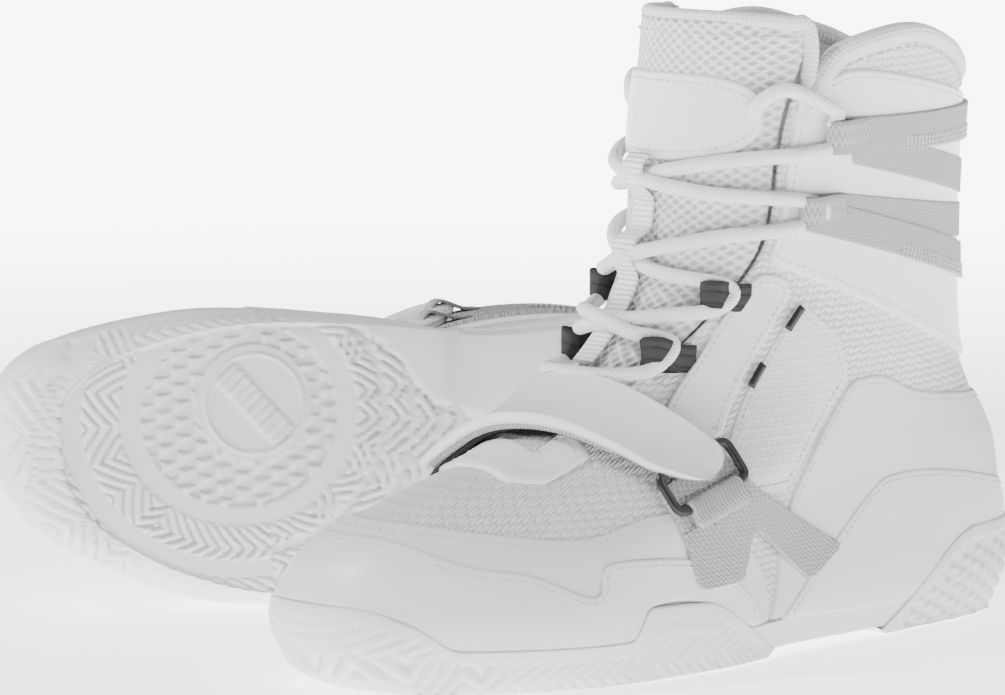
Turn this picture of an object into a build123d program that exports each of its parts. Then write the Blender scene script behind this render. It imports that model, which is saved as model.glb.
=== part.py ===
"""Pair of boxing boots: the left one stands on its sole, the right one lies on its outer side.

Each boot is worked out in its own frame, in millimetres: the toe points to -Y, the outer side
of the left boot is +X, and the ground is z = 0. The distance called a is measured forward
from the back of the heel, so y = HALF_LENGTH - a.
"""
from build123d import *
import functools
import math
import os

os.makedirs("parts", exist_ok=True)

# ---- driving dimensions -------------------------------------------------------------------
LENGTH = 300.0
HALF_LENGTH = LENGTH / 2
SHELL = 2.5            # lined mesh of the inner boot
SKIN = 1.3             # leather and suede overlays
GAP = 0.3              # clearance between neighbouring layers
WEBBING = 1.3
LACE = 5.0             # lace diameter
RUBBER = 2.3           # wall of the sole where it turns up round the foot
TREAD = 6.0            # sole under the foot
BOARD_Z = 14.5         # underside of the lasting board
TONGUE_TOP = 214.0
SLACK = 0.78           # the shaft of the lying boot sags to this share of its width

# The lying boot: turned in the plane of its sole, laid on its side, turned on the floor.
RIGHT_PITCH = -3.5
RIGHT_LEAN = 5.5
RIGHT_YAW = -30.4
RIGHT_PLACE = (-113.3, 5.3)

# Heights and the a of the heel curve and of the toe and instep curve at those heights.
HEEL_CURVE = ((0, 7), (20, 0), (55, 4), (100, 19), (140, 22), (205, 18), (230, 17))
INSTEP_CURVE = ((0, 280), (8, 294), (24, 300), (38, 295), (50, 282), (60, 262), (70, 236),
                (84, 208), (98, 188), (112, 173), (128, 163), (145, 158), (165, 156),
                (205, 150), (230, 148))
# Half widths of the foot at these heights, from heel to toe at these shares of the length.
SHARES = (0, 0.2, 0.4, 0.6, 0.8, 1)
HALF_WIDTHS = (
    (0, (38, 36, 34, 43, 49, 46)), (20, (44, 40, 37, 47, 55, 53)),
    (40, (42, 39, 36, 45, 52, 50)), (60, (40, 37, 35, 41, 42, 38)),
    (75, (38, 36, 35, 37, 34, 30)), (90, (36, 36, 36, 35, 32, 30)),
    (110, (34, 36, 37, 36, 34, 33)), (140, (35, 37, 38, 38, 36, 35)),
    (205, (38, 39, 40, 40, 39, 38)), (230, (38, 39, 40, 40, 39, 38)))
# A low exponent makes the ends of a ring blunt. The last one bows towards the inner side.
BLUNTNESS = ((0, 0.66), (20, 0.66), (40, 0.70), (60, 0.76), (75, 0.9), (90, 1.0), (230, 1.0))
SOLE_BOW = ((0, 0), (60, 0), (110, 3), (160, 5), (200, 3), (240, -1), (270, -6), (300, -13))
RING_POINTS = 28
LEVELS = (-10, 0, 8, 16, 24, 32, 40, 48, 56, 64, 72, 80, 90, 102, 116, 132, 150, 170, 190, 204, 225)

# Edges in the side view, as (a, z), each from front to back.
RIM = ((310, 29), (297, 29), (285, 24), (272, 16), (216, 15), (207, 25), (182, 24), (160, 14), (149, 7),
       (140, 0))
CAP_EDGE = ((310, 54), (285, 52), (268, 43), (249, 39), (229, 31), (221, 41), (181, 38), (158, 24),
            (151, 13.6))
BAND_EDGE = ((310, 60), (285, 57), (250, 51), (226, 49), (195, 54), (170, 50), (150, 32), (145, 14))
COUNTER_EDGE = ((138, 14), (130, 20), (90, 50), (71, 55), (40, 52), (-10, 41))
PANEL_EDGE = ((144, 14), (142, 21), (131, 52), (102, 85), (92, 89), (80, 88), (55, 80), (-10, 73))
POD_EDGE = ((86, 0), (80, 4), (32, 32), (-10, 32))
ARCH = ((143, 3), (148, 7), (156, 12), (68.5, 12), (83, 4), (84, 3))
COLLAR_EDGE = ((150, 184), (122, 194), (104, 204), (80, 207), (50, 200), (20, 187), (-10, 184))
CUFF = ((145, 136), (136, 132), (40, 94), (-10, 78), (-10, 168), (40, 182), (93, 193), (112, 190),
        (131, 178))
EYESTAY = ((183, 76), (180, 81), (160, 100), (141, 121), (134, 127), (126, 126), (123, 120), (156, 80),
           (160, 75))
QUARTER = ((172, 56), (157, 75), (120, 117), (104, 104), (100, 90), (134, 56))
ELASTIC = ((195, 60), (164, 71), (156, 60), (113, 36), (131, 27), (157, 46), (163, 33), (183, 32), (190, 50))
THROAT_PIECE = ((-24, 207), (-24, 228), (-16, 238), (16, 238), (24, 228), (24, 207), (13, 207), (13, 222),
                (-13, 222), (-13, 207))
# Each ankle webbing is two bands that meet on the side: (a, middle z) front and back of each.
UPPER_BANDS = (((109, 172), (-10, 170)), ((100, 168), (-10, 141)))
LOWER_BANDS = (((121, 147), (-10, 111)), ((108, 147), (-10, 130)))
BAND_WIDTH = 12.0
# Half width of the front slot at these heights.
THROAT = ((80, 13), (100, 20), (119, 25), (136, 29), (179, 32), (205, 35), (260, 36))
# Where the lace turns: (x, z) of the four pairs of loops, lowest first.
LACE_LOOPS = ((20, 100), (24, 119), (34, 147), (37, 172))


# ---- the foot shape -----------------------------------------------------------------------
def smooth(knots, x):
    """Monotone cubic through knots, flat beyond them."""
    if x <= knots[0][0]:
        return knots[0][1]
    if x >= knots[-1][0]:
        return knots[-1][1]
    slopes = [(q[1] - p[1]) / (q[0] - p[0]) for p, q in zip(knots, knots[1:])]
    turns = [slopes[0]]
    for before, after in zip(slopes, slopes[1:]):
        turns.append(2 * before * after / (before + after) if before * after > 0 else 0.0)
    turns.append(slopes[-1])
    i = next(k for k in range(len(slopes)) if x <= knots[k + 1][0])
    step = knots[i + 1][0] - knots[i][0]
    u = (x - knots[i][0]) / step
    rise = knots[i][1] * (1 + 2 * u) * (1 - u) ** 2 + knots[i + 1][1] * u * u * (3 - 2 * u)
    return rise + step * (turns[i] * u * (1 - u) ** 2 - turns[i + 1] * u * u * (1 - u))


def sag(z, slack):
    """Share of the full width that a slack shaft keeps at height z."""
    return 1 - (1 - slack) * min(1, max(0, (z - 50) / 90))


@functools.cache
def ring(z, slack):
    """Points of the foot's outline at height z, from the heel round the outer side."""
    heel = smooth(HEEL_CURVE, z)
    toe = smooth(INSTEP_CURVE, z)
    widths = [(s, smooth([(h, row[i]) for h, row in HALF_WIDTHS], z)) for i, s in enumerate(SHARES)]
    power = smooth(BLUNTNESS, z)
    bow = min(1, max(0, 2 - z / 60))
    points = []
    for k in range(RING_POINTS):
        turn = 2 * math.pi * k / RING_POINTS
        share = (1 - math.cos(turn)) / 2
        a = heel + (toe - heel) * share
        side = math.sin(turn)
        x = math.copysign(abs(side) ** power, side) * smooth(widths, share) * sag(z, slack)
        points.append((x + smooth(SOLE_BOW, a) * bow, HALF_LENGTH - a))
    return points


@functools.cache
def offset_ring(z, grow, slack):
    """The ring at height z, moved out so that the surface is grow further out."""
    here = ring(z, slack)
    above = ring(z + 1, slack)
    below = ring(z - 1, slack)
    steepest = 2.8 if grow > 0 else 1.7
    moved = []
    for k, (x, y) in enumerate(here):
        before = here[k - 1]
        after = here[(k + 1) % RING_POINTS]
        run = math.hypot(after[0] - before[0], after[1] - before[1])
        nx = -(after[1] - before[1]) / run
        ny = (after[0] - before[0]) / run
        lean = ((above[k][0] - below[k][0]) * nx + (above[k][1] - below[k][1]) * ny) / 2
        reach = grow * min(steepest, math.hypot(1, lean))
        moved.append((x + nx * reach, y + ny * reach))
    return moved


def level_ring(z, grow, slack):
    """Offset ring at any height, on the straight lines between the rings at the fixed levels."""
    upper = next(k for k in range(1, len(LEVELS)) if z <= LEVELS[k])
    low, high = LEVELS[upper - 1], LEVELS[upper]
    share = (z - low) / (high - low)
    pairs = zip(offset_ring(low, grow, slack), offset_ring(high, grow, slack))
    return [Vector(p[0] + (q[0] - p[0]) * share, p[1] + (q[1] - p[1]) * share, z) for p, q in pairs]


def body_of_rings(grow, low, high, slack):
    """Solid foot shape from low to high, with its surface grown outwards."""
    heights = [low] + [z for z in LEVELS if low + 0.01 < z < high - 0.01] + [high]
    wires = [Wire.make_polygon(level_ring(z, grow, slack)) for z in heights]
    return Solid.make_loft(wires, ruled=True)


def layer(inner, outer, low, high, slack):
    """Closed tube of material between two offsets of the foot shape."""
    return body_of_rings(outer, low, high, slack) - body_of_rings(inner, low - 1, high + 1, slack)


# ---- cutting outlines ---------------------------------------------------------------------
FAR = 130.0


def side_prism(outline, low=-FAR, high=FAR):
    """Block with an (a, z) outline, running from x = low to x = high."""
    points = [Vector(low, HALF_LENGTH - a, z) for a, z in outline]
    return extrude(Face(Wire.make_polygon(points)), amount=high - low, dir=(1, 0, 0))


def front_prism(outline, back, front):
    """Block with an (x, z) outline, running forward from a = back to a = front."""
    points = [Vector(x, HALF_LENGTH - back, z) for x, z in outline]
    return extrude(Face(Wire.make_polygon(points)), amount=front - back, dir=(0, -1, 0))


def top_prism(outline, low, high):
    """Block with an (x, a) outline, from z = low to z = high."""
    points = [Vector(x, HALF_LENGTH - a, low) for x, a in outline]
    return extrude(Face(Wire.make_polygon(points)), amount=high - low, dir=(0, 0, 1))


def above(edge, lift):
    """Outline of everything over an edge that runs from front to back."""
    return [(a, z + lift) for a, z in edge] + [(edge[-1][0], 400), (edge[0][0], 400)]


def below(edge, lift):
    """Outline of everything under an edge that runs from front to back."""
    return [(a, z + lift) for a, z in edge] + [(edge[-1][0], -50), (edge[0][0], -50)]


def throat(extra, slack):
    """Outline of the front slot, wider by extra, as (x, z)."""
    right = [(x * sag(z, slack) + extra, z) for z, x in THROAT]
    return right + [(-x, z) for x, z in reversed(right)]


# ---- the soft strap over the instep -------------------------------------------------------
STRAP_AXIS = ((230, 44), (166, 64))       # (a, z) of the line the strap is wrapped about
STRAP_SECTIONS = 10
# Share of that line at the front and rear edge, by turn from straight up, outer side positive.
STRAP_FRONT = ((-120, 0.1), (-60, 0.14), (0, 0.25), (40, 0.42), (80, 0.62))
STRAP_REAR = ((-120, 0.45), (-60, 0.53), (0, 0.64), (40, 0.82), (80, 1.05))
RING_TURNS = (76, 92)
RING_LIFT = 6.8
RING_WIRE = 3.0
FLAP_LIFT = 6.2
FLAP_THICKNESS = 1.8
BASE_LIFT = 2.7
BASE_THICKNESS = 1.4


def breadth(a, z, side, slack):
    """x of the foot surface on one side (+1 outer, -1 inner), or None outside the foot."""
    heel = smooth(HEEL_CURVE, z)
    toe = smooth(INSTEP_CURVE, z)
    share = (a - heel) / (toe - heel)
    if not 0 < share < 1:
        return None
    widths = [(s, smooth([(h, row[i]) for h, row in HALF_WIDTHS], z)) for i, s in enumerate(SHARES)]
    reach = math.sqrt(1 - (1 - 2 * share) ** 2) ** smooth(BLUNTNESS, z)
    bow = smooth(SOLE_BOW, a) * min(1, max(0, 2 - z / 60))
    return side * reach * smooth(widths, share) * sag(z, slack) + bow


def over_foot(share, turn, lift, slack):
    """Point lift outside the foot, at a share of the strap axis and a turn from straight up."""
    (a0, z0), (a1, z1) = STRAP_AXIS
    a = a0 + (a1 - a0) * share
    z = z0 + (z1 - z0) * share
    slope = math.atan2(z1 - z0, a0 - a1)
    side_way = math.sin(math.radians(turn))
    up_way = math.cos(math.radians(turn))
    near, far = 0.0, 90.0
    for _ in range(22):
        reach = (near + far) / 2
        here_a = a + reach * up_way * math.sin(slope)
        here_z = z + reach * up_way * math.cos(slope)
        wall = breadth(here_a, here_z, 1 if turn > 0 else -1, slack)
        if wall is not None and abs(reach * side_way) < abs(wall):
            near = reach
        else:
            far = reach
    reach = near + lift
    return Vector(reach * side_way, HALF_LENGTH - a - reach * up_way * math.sin(slope),
                  z + reach * up_way * math.cos(slope))


def strap(turns, lift, thickness, inset, slack):
    """Band wrapped over the foot through given turns, its edges pulled in by inset."""
    wires = []
    for k in range(STRAP_SECTIONS + 1):
        turn = turns[0] + (turns[1] - turns[0]) * k / STRAP_SECTIONS
        front = smooth(STRAP_FRONT, turn) + inset
        rear = smooth(STRAP_REAR, turn) - inset
        corners = [over_foot(front, turn, lift, slack), over_foot(rear, turn, lift, slack),
                   over_foot(rear, turn, lift + thickness, slack),
                   over_foot(front, turn, lift + thickness, slack)]
        wires.append(Wire.make_polygon(corners))
    return Solid.make_loft(wires)


def ring_corners(slack):
    """Corners of the strap ring's middle line: upper bar front and rear, lower bar rear and front."""
    front = smooth(STRAP_FRONT, 80) - 0.03
    rear = smooth(STRAP_REAR, 80) + 0.03
    first = over_foot(front, RING_TURNS[0], RING_LIFT, slack)
    second = over_foot(rear, RING_TURNS[0], RING_LIFT, slack)
    third = over_foot(rear, RING_TURNS[1], RING_LIFT, slack)
    return [first, second, third, first + third - second]


def tube(points, radii, diameter, closed=False):
    """Round bar along straight runs joined by arcs."""
    path = FilletPolyline(*points, radius=radii, close=closed)
    start = Plane(origin=path @ 0, z_dir=path % 0)
    return sweep(start * Circle(diameter / 2), path=path)


# ---- the lace -----------------------------------------------------------------------------
def front_point(x, z, lift, slack):
    """Point lift in front of the foot surface, at a given x and height."""
    near = (smooth(HEEL_CURVE, z) + smooth(INSTEP_CURVE, z)) / 2
    far = smooth(INSTEP_CURVE, z)
    side = 1 if x >= 0 else -1
    for _ in range(22):
        a = (near + far) / 2
        if abs(breadth(a, z, side, slack) or 0) > abs(x):
            near = a
        else:
            far = a
    if abs(x) < 1:
        fall_off = 60.0
    else:
        fall_off = abs(breadth(near - 1, z, side, slack) - breadth(near - 3, z, side, slack)) / 2
    climb = (smooth(INSTEP_CURVE, z + 1) - smooth(INSTEP_CURVE, z - 1)) / 2
    normal = Vector(side, -fall_off, -fall_off * climb)
    return Vector(x, HALF_LENGTH - near, z) + normal.normalized() * lift


def lace_points(slack):
    """Route of the lace: down through one side's loops, across the bottom, up the other side's."""
    low, under, over, top = LACE_LOOPS
    crossings = [(top[1] + over[1]) / 2, (over[1] + under[1]) / 2, (under[1] + low[1]) / 2]
    strands = []
    for side, crossing_lift in ((1, 5.5), (-1, 11.4)):
        stops = [(side * 33, 188, 5.2)]
        for number, (x, z) in enumerate((top, over, under, low)):
            loop_side = side * (-1) ** number
            stops += [(loop_side * (x - 1), z + 3, 5.8), (loop_side * (x - 1), z - 3, 5.8)]
            if number < 3:
                stops += [(0, crossings[number], crossing_lift)]
        strands.append(stops)
    stops = strands[0] + [(-9, 96, 5.8), (9, 96, 5.8)] + strands[1][::-1]
    route = [stops[0]]
    for before, after in zip(stops, stops[1:]):
        steps = 3 if abs(after[0] - before[0]) > 15 else 1
        for step in range(1, steps + 1):
            route.append(tuple(p + (q - p) * step / steps for p, q in zip(before, after)))
    return [front_point(x * sag(z, slack), z, lift, slack) for x, z, lift in route]


def bend_radii(points):
    """Largest arcs the runs leave room for, one for each corner."""
    radii = []
    for before, here, after in zip(points, points[1:], points[2:]):
        one, two = here - before, after - here
        turn = math.radians(one.get_angle(two))
        radii.append(0.45 * min(one.length, two.length) / math.tan(turn / 2))
    return radii


# ---- one boot -----------------------------------------------------------------------------
def region(high, high_lift, low, low_lift):
    """Outline between two edges that both run from front to back."""
    return [(a, z + high_lift) for a, z in high] + [(a, z + low_lift) for a, z in reversed(low)]


def band(ends):
    """Outline of one straight webbing band in the side view."""
    (a0, z0), (a1, z1) = ends
    half = BAND_WIDTH / 2
    return [(a0, z0 + half), (a0, z0 - half), (a1, z1 - half), (a1, z1 + half)]


def sole_parts(slack):
    cup = body_of_rings(RUBBER, 0, 31, slack) - body_of_rings(GAP, TREAD, 33, slack)
    arch_cup = body_of_rings(1.5, 3, 13, slack) - body_of_rings(GAP, TREAD, 14, slack)
    pocket = Pos(0, HALF_LENGTH - 135, BOARD_Z - 1.2) * Box(13, 101, 2.2)
    midsole = body_of_rings(-GAP, TREAD + GAP, BOARD_Z - GAP, slack) - pocket
    forefoot = RIM + ((140, -5), (310, -5))
    heel = POD_EDGE + ((-10, -5), (86, -5))
    return {
        "forefoot_outsole": cup & side_prism(forefoot),
        "heel_outsole": cup & side_prism(heel),
        "arch_shell": arch_cup & side_prism(ARCH),
        "midsole": midsole,
        "shank_plate": Pos(0, HALF_LENGTH - 135, BOARD_Z - 1.2) * Box(12, 100, 1.5),
        "lasting_board": body_of_rings(-SHELL - 0.5, BOARD_Z, BOARD_Z + 1.8, slack),
        "sockliner": body_of_rings(-SHELL - 0.8, BOARD_Z + 2.1, BOARD_Z + 6, slack),
    }


def upper_parts(slack):
    slot = front_prism(throat(0, slack), HALF_LENGTH - 60, 330)
    stiffening = layer(-SHELL - GAP - 1.2, -SHELL - GAP, BOARD_Z + 6.5, 47, slack)
    heel_stiffener = stiffening & side_prism([(72, 0), (60, 60), (-10, 60), (-10, 0)])
    toe_puff = stiffening & side_prism([(240, 0), (256, 60), (310, 60), (310, 0)])
    ankle = layer(-SHELL, 0, 78.4, 209, slack) - side_prism(above(COLLAR_EDGE, -6.4)) - slot
    rim_roll = layer(-7, 1.6, 178, 208, slack) & side_prism(region(COLLAR_EDGE, 0, COLLAR_EDGE, -6))
    tongue = layer(-4.5, 0.5, 84, TONGUE_TOP, slack) & front_prism(throat(-0.7, slack), HALF_LENGTH - 46, 330)
    padding = layer(-7, -SHELL - GAP, 150, 208, slack) & side_prism(below(COLLAR_EDGE, -6.4))
    wide_slot = front_prism(throat(1, slack), HALF_LENGTH - 60, 330)
    return {
        "stiffeners": Compound(children=[*heel_stiffener.solids(), *toe_puff.solids()]),
        "vamp_mesh": layer(-SHELL, 0, BOARD_Z, 78, slack),
        "ankle_mesh": ankle,
        "collar_binding": rim_roll - wide_slot,
        "collar_padding": padding - wide_slot,
        "tongue": tongue,
    }


def overlay_parts(slack):
    inner, outer = GAP, GAP + SKIN
    low_skin = layer(inner, outer, 8, 58, slack)
    middle_skin = layer(inner, outer, 58, 128.5, slack)
    wide_slot = front_prism(throat(1, slack), HALF_LENGTH - 60, 330)
    arch_line = ((140, 12.6), (66, 12.6))
    cap = region(CAP_EDGE, 0, RIM[:-2] + ((156.5, 12.4),), 0.5)
    counter = region(COUNTER_EDGE, 0, arch_line + ((32, 32.6), (-10, 32.6)), 0)
    panel_low = ((142, 13), (139, 14.4)) + tuple((a, z + 0.4) for a, z in COUNTER_EDGE[1:])
    suede = layer(inner, outer, 13, 90, slack)
    cuff = layer(inner, outer, 77, 197, slack)
    return {
        "toe_cap": low_skin & side_prism(cap),
        "toe_band": suede & side_prism(region(BAND_EDGE, 0, CAP_EDGE, 0.4)),
        "heel_counter": low_skin & side_prism(counter),
        "heel_panel": suede & side_prism(region(PANEL_EDGE, 0, panel_low, 0)),
        "throat_piece": middle_skin & top_prism(THROAT_PIECE, 50, 110),
        "eyestays": (middle_skin & side_prism(EYESTAY)) - wide_slot,
        "quarter_panels": middle_skin & side_prism(QUARTER),
        "ankle_cuff": (cuff & side_prism(CUFF)) - wide_slot,
    }


def lacing_parts(slack):
    first, second = GAP + SKIN + GAP, GAP + SKIN + GAP + WEBBING
    half = 30 * sag(180, slack)
    tongue_front = front_prism([(-half, 163), (half, 163), (half, 194), (-half, 194)], 80, 330)
    keeper = front_prism([(-4.5, 108), (4.5, 108), (4.5, 161), (-4.5, 161)], 100, 330)
    patch_skin = layer(0.8, 2.0, 161, 196, slack)
    strip_skin = layer(0.8, 1.7, 106, 161.5, slack)
    loop_skin = layer(first, first + 0.9, 92, 126, slack)
    loops = []
    for x, z in LACE_LOOPS[:2]:
        for side in (-1, 1):
            inner = side * x * sag(z, slack)
            outer = inner + side * 9
            outline = [(inner, z - 4), (outer, z - 4), (outer, z + 4), (inner, z + 4)]
            loops += (loop_skin & front_prism(outline, 120, 330)).solids()
    upper_skin = layer(first, second, 132, 181, slack)
    lower_skin = layer(first, second, 103, 154, slack)
    bands = []
    for skin, pair in ((upper_skin, UPPER_BANDS), (lower_skin, LOWER_BANDS)):
        bands += (skin & (side_prism(band(pair[0])) + side_prism(band(pair[1])))).solids()
    points = lace_points(slack)
    radii = bend_radii(points)
    print("lace bend radii", [round(radius, 1) for radius in radii])
    return {
        "tongue_patch": patch_skin & tongue_front,
        "lace_keeper": strip_skin & keeper,
        "lace_loops": Compound(children=loops),
        "ankle_webbing": Compound(children=bands),
        "lace": tube(points, radii, LACE),
    }


def strap_parts(slack):
    corners = ring_corners(slack)
    elastic_skin = layer(GAP + SKIN + GAP, GAP + SKIN + GAP + WEBBING, 24, 73, slack)
    return {
        "strap_elastic": elastic_skin & side_prism(ELASTIC, 5, FAR),
        "strap_ring": tube(corners, 3.5, RING_WIRE, closed=True),
        "strap_base": strap((-118, 68), BASE_LIFT, BASE_THICKNESS, 0.05, slack),
        "strap_flap": strap((-62, 72.5), FLAP_LIFT, FLAP_THICKNESS, 0.0, slack),
    }


def boot(slack):
    """Every piece of one left boot, standing, in its own frame."""
    parts = {}
    for group in (sole_parts, upper_parts, overlay_parts, lacing_parts, strap_parts):
        parts.update(group(slack))
    return parts


# ---- the pair -----------------------------------------------------------------------------
def main():
    left = boot(1.0)
    turned = Rot(0, 0, RIGHT_YAW) * Rot(0, -90 - RIGHT_LEAN, 0) * Rot(0, 0, RIGHT_PITCH)
    right = {name: turned * mirror(piece, about=Plane.YZ) for name, piece in boot(SLACK).items()}
    lowest = min(piece.bounding_box().min.Z for piece in right.values())
    drop = Pos(RIGHT_PLACE[0], RIGHT_PLACE[1], -lowest)
    pair = {"left_" + name: piece for name, piece in left.items()}
    pair.update({"right_" + name: drop * piece for name, piece in right.items()})
    boxes = [piece.bounding_box() for piece in pair.values()]
    middle_x = (min(box.min.X for box in boxes) + max(box.max.X for box in boxes)) / 2
    middle_y = (min(box.min.Y for box in boxes) + max(box.max.Y for box in boxes)) / 2
    centre = Pos(-middle_x, -middle_y, 0)
    for name, piece in pair.items():
        export_step(centre * Compound(children=piece.solids()), f"parts/{name}.step")
    left_bar = [centre * Pos(*corner) for corner in ring_corners(1.0)[:2]]
    mirrored = [Vector(-corner.X, corner.Y, corner.Z) for corner in ring_corners(SLACK)[:2]]
    right_bar = [centre * drop * turned * Pos(*corner) for corner in mirrored]
    print("left bar", [place.position for place in left_bar])
    print("right bar", [place.position for place in right_bar])
    print("pair offset", centre.position, "right drop", drop.position)


main()
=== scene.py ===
"""Looks of a pair of boxing boots: the left one stands, the right one lies on its outer side."""
import math

import bpy
import numpy as np
from mathutils import Matrix, Vector, geometry


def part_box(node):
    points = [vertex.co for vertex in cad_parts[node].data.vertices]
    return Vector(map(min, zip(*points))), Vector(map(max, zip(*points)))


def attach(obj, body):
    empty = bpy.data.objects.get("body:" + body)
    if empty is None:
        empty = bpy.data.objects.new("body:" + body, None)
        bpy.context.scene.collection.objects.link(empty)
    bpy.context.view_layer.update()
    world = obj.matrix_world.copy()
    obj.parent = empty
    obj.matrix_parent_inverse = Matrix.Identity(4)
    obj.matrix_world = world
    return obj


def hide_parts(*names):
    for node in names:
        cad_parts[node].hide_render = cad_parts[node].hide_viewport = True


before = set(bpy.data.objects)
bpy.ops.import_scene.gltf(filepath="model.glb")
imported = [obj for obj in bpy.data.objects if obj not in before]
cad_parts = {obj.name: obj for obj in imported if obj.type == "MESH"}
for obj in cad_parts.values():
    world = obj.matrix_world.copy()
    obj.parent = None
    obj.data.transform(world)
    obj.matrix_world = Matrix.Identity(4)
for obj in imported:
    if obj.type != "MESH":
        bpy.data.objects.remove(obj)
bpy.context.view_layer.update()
PI = math.pi

# ---- the foot shape -----------------------------------------------------------------------
# Both boots follow one shape, in millimetres: toe to -Y, outer side +X, a counts forward from
# the heel. Every piece is placed on it by a turn round the foot, a height and a lift off it.
LENGTH = 300.0
HEEL_CURVE = ((0, 7), (20, 0), (55, 4), (100, 19), (140, 22), (205, 18), (230, 17))
INSTEP_CURVE = ((0, 280), (8, 294), (24, 300), (38, 295), (50, 282), (60, 262), (70, 236),
                (84, 208), (98, 188), (112, 173), (128, 163), (145, 158), (165, 156),
                (205, 150), (230, 148))
SHARES = (0, 0.2, 0.4, 0.6, 0.8, 1)
HALF_WIDTHS = (
    (0, (38, 36, 34, 43, 49, 46)), (20, (44, 40, 37, 47, 55, 53)),
    (40, (42, 39, 36, 45, 52, 50)), (60, (40, 37, 35, 41, 42, 38)),
    (75, (38, 36, 35, 37, 34, 30)), (90, (36, 36, 36, 35, 32, 30)),
    (110, (34, 36, 37, 36, 34, 33)), (140, (35, 37, 38, 38, 36, 35)),
    (205, (38, 39, 40, 40, 39, 38)), (230, (38, 39, 40, 40, 39, 38)))
BLUNTNESS = ((0, 0.66), (20, 0.66), (40, 0.70), (60, 0.76), (75, 0.9), (90, 1.0), (230, 1.0))
SOLE_BOW = ((0, 0), (60, 0), (110, 3), (160, 5), (200, 3), (240, -1), (270, -6), (300, -13))
THROAT = ((80, 13), (100, 20), (119, 25), (136, 29), (179, 32), (205, 35), (260, 36))
SLACK = {"left": 1.0, "right": 0.78}


def smooth(knots, x):
    """Monotone cubic through knots, flat beyond them."""
    xs, ys = np.array(knots, float).T
    if xs[0] > xs[-1]:
        xs, ys = xs[::-1], ys[::-1]
    slopes = np.diff(ys) / np.diff(xs)
    product = slopes[1:] * slopes[:-1]
    total = np.where(product > 0, slopes[1:] + slopes[:-1], 1)
    inner = np.where(product > 0, 2 * product / total, 0)
    turns = np.concatenate([slopes[:1], inner, slopes[-1:]])
    x = np.clip(x, xs[0], xs[-1])
    i = np.clip(np.searchsorted(xs, x) - 1, 0, len(xs) - 2)
    step = xs[i + 1] - xs[i]
    u = (x - xs[i]) / step
    rise = ys[i] * (1 + 2 * u) * (1 - u) ** 2 + ys[i + 1] * u * u * (3 - 2 * u)
    return rise + step * (turns[i] * u * (1 - u) ** 2 - turns[i + 1] * u * u * (1 - u))


TABLE_SHARES = np.linspace(0, 1, 257)
TABLE_HEIGHTS = np.arange(-12, 232, 0.5)
WIDTH_COLUMNS = [smooth([(z, row[i]) for z, row in HALF_WIDTHS], TABLE_HEIGHTS) for i in range(6)]
WIDTH_TABLE = np.array([smooth(list(zip(SHARES, row)), TABLE_SHARES) for row in zip(*WIDTH_COLUMNS)])


def half_width(share, z):
    """Half width of the foot at a share of its length and a height."""
    row = np.clip((z - TABLE_HEIGHTS[0]) / 0.5, 0, len(TABLE_HEIGHTS) - 1.001)
    column = np.clip(share * 256, 0, 255.999)
    i, j = row.astype(int), column.astype(int)
    u, v = row - i, column - j
    low = WIDTH_TABLE[i, j] * (1 - v) + WIDTH_TABLE[i, j + 1] * v
    high = WIDTH_TABLE[i + 1, j] * (1 - v) + WIDTH_TABLE[i + 1, j + 1] * v
    return low * (1 - u) + high * u


def sag(z, slack):
    """Share of its width that a slack shaft keeps at height z."""
    return 1 - (1 - slack) * np.clip((np.asarray(z, float) - 50) / 90, 0, 1)


def along(turn, z):
    """How far forward of the heel the foot's surface is."""
    heel = smooth(HEEL_CURVE, z)
    return heel + (smooth(INSTEP_CURVE, z) - heel) * (1 - np.cos(turn)) / 2


def bare(turn, z, slack):
    """Point of the foot's surface; turn is 0 at the heel and half a turn at the toe."""
    share = (1 - np.cos(turn)) / 2
    a = along(turn, z)
    side = np.sin(turn)
    x = np.sign(side) * np.abs(side) ** smooth(BLUNTNESS, z) * half_width(share, z) * sag(z, slack)
    return np.stack([x + smooth(SOLE_BOW, a) * np.clip(2 - z / 60, 0, 1), LENGTH / 2 - a, z], -1)


def unit(v):
    return v / np.maximum(np.linalg.norm(v, axis=-1, keepdims=True), 1e-9)


def normal_at(turn, z, slack):
    """Outward direction of the foot's surface."""
    turn, z = np.broadcast_arrays(np.asarray(turn, float), np.asarray(z, float))
    up = bare(turn, z + 0.7, slack) - bare(turn, z - 0.7, slack)
    round_ = bare(turn + 0.012, z, slack) - bare(turn - 0.012, z, slack)
    return unit(np.cross(up, round_))


def surface(turn, z, lift, slack):
    """Point lifted off the foot's surface."""
    turn, z = np.broadcast_arrays(np.asarray(turn, float), np.asarray(z, float))
    return bare(turn, z, slack) + normal_at(turn, z, slack) * np.asarray(lift, float)[..., None]


def turn_at(x, z, slack):
    """Turn on the front of the foot where its surface is at x."""
    x, z = np.broadcast_arrays(np.asarray(x, float), np.asarray(z, float))
    side = np.where(x < 0, -1.0, 1.0)
    near, far = np.zeros(x.shape), np.full(x.shape, PI / 2)
    for _ in range(30):
        half = (near + far) / 2
        short = side * bare(PI - side * half, z, slack)[..., 0] < side * x
        near, far = np.where(short, half, near), np.where(short, far, half)
    return PI - side * near


# ---- placing and building -----------------------------------------------------------------
# The shank plate's own box gives where each boot was put, and the lying boot is a mirror
# image that is pitched, laid over and turned on the floor.
SHANK_MIDDLE = np.array([0.0, 15.0, 13.3])
RIGHT_YAW, RIGHT_ROLL, RIGHT_PITCH = -30.4, -95.5, -3.5
RIGHT_TURN = np.array(Matrix.Rotation(math.radians(RIGHT_YAW), 3, "Z")
                      @ Matrix.Rotation(math.radians(RIGHT_ROLL), 3, "Y")
                      @ Matrix.Rotation(math.radians(RIGHT_PITCH), 3, "Z"))


def box_middle(node):
    low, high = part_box(node)
    return (np.array(low) + np.array(high)) * 500


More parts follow.
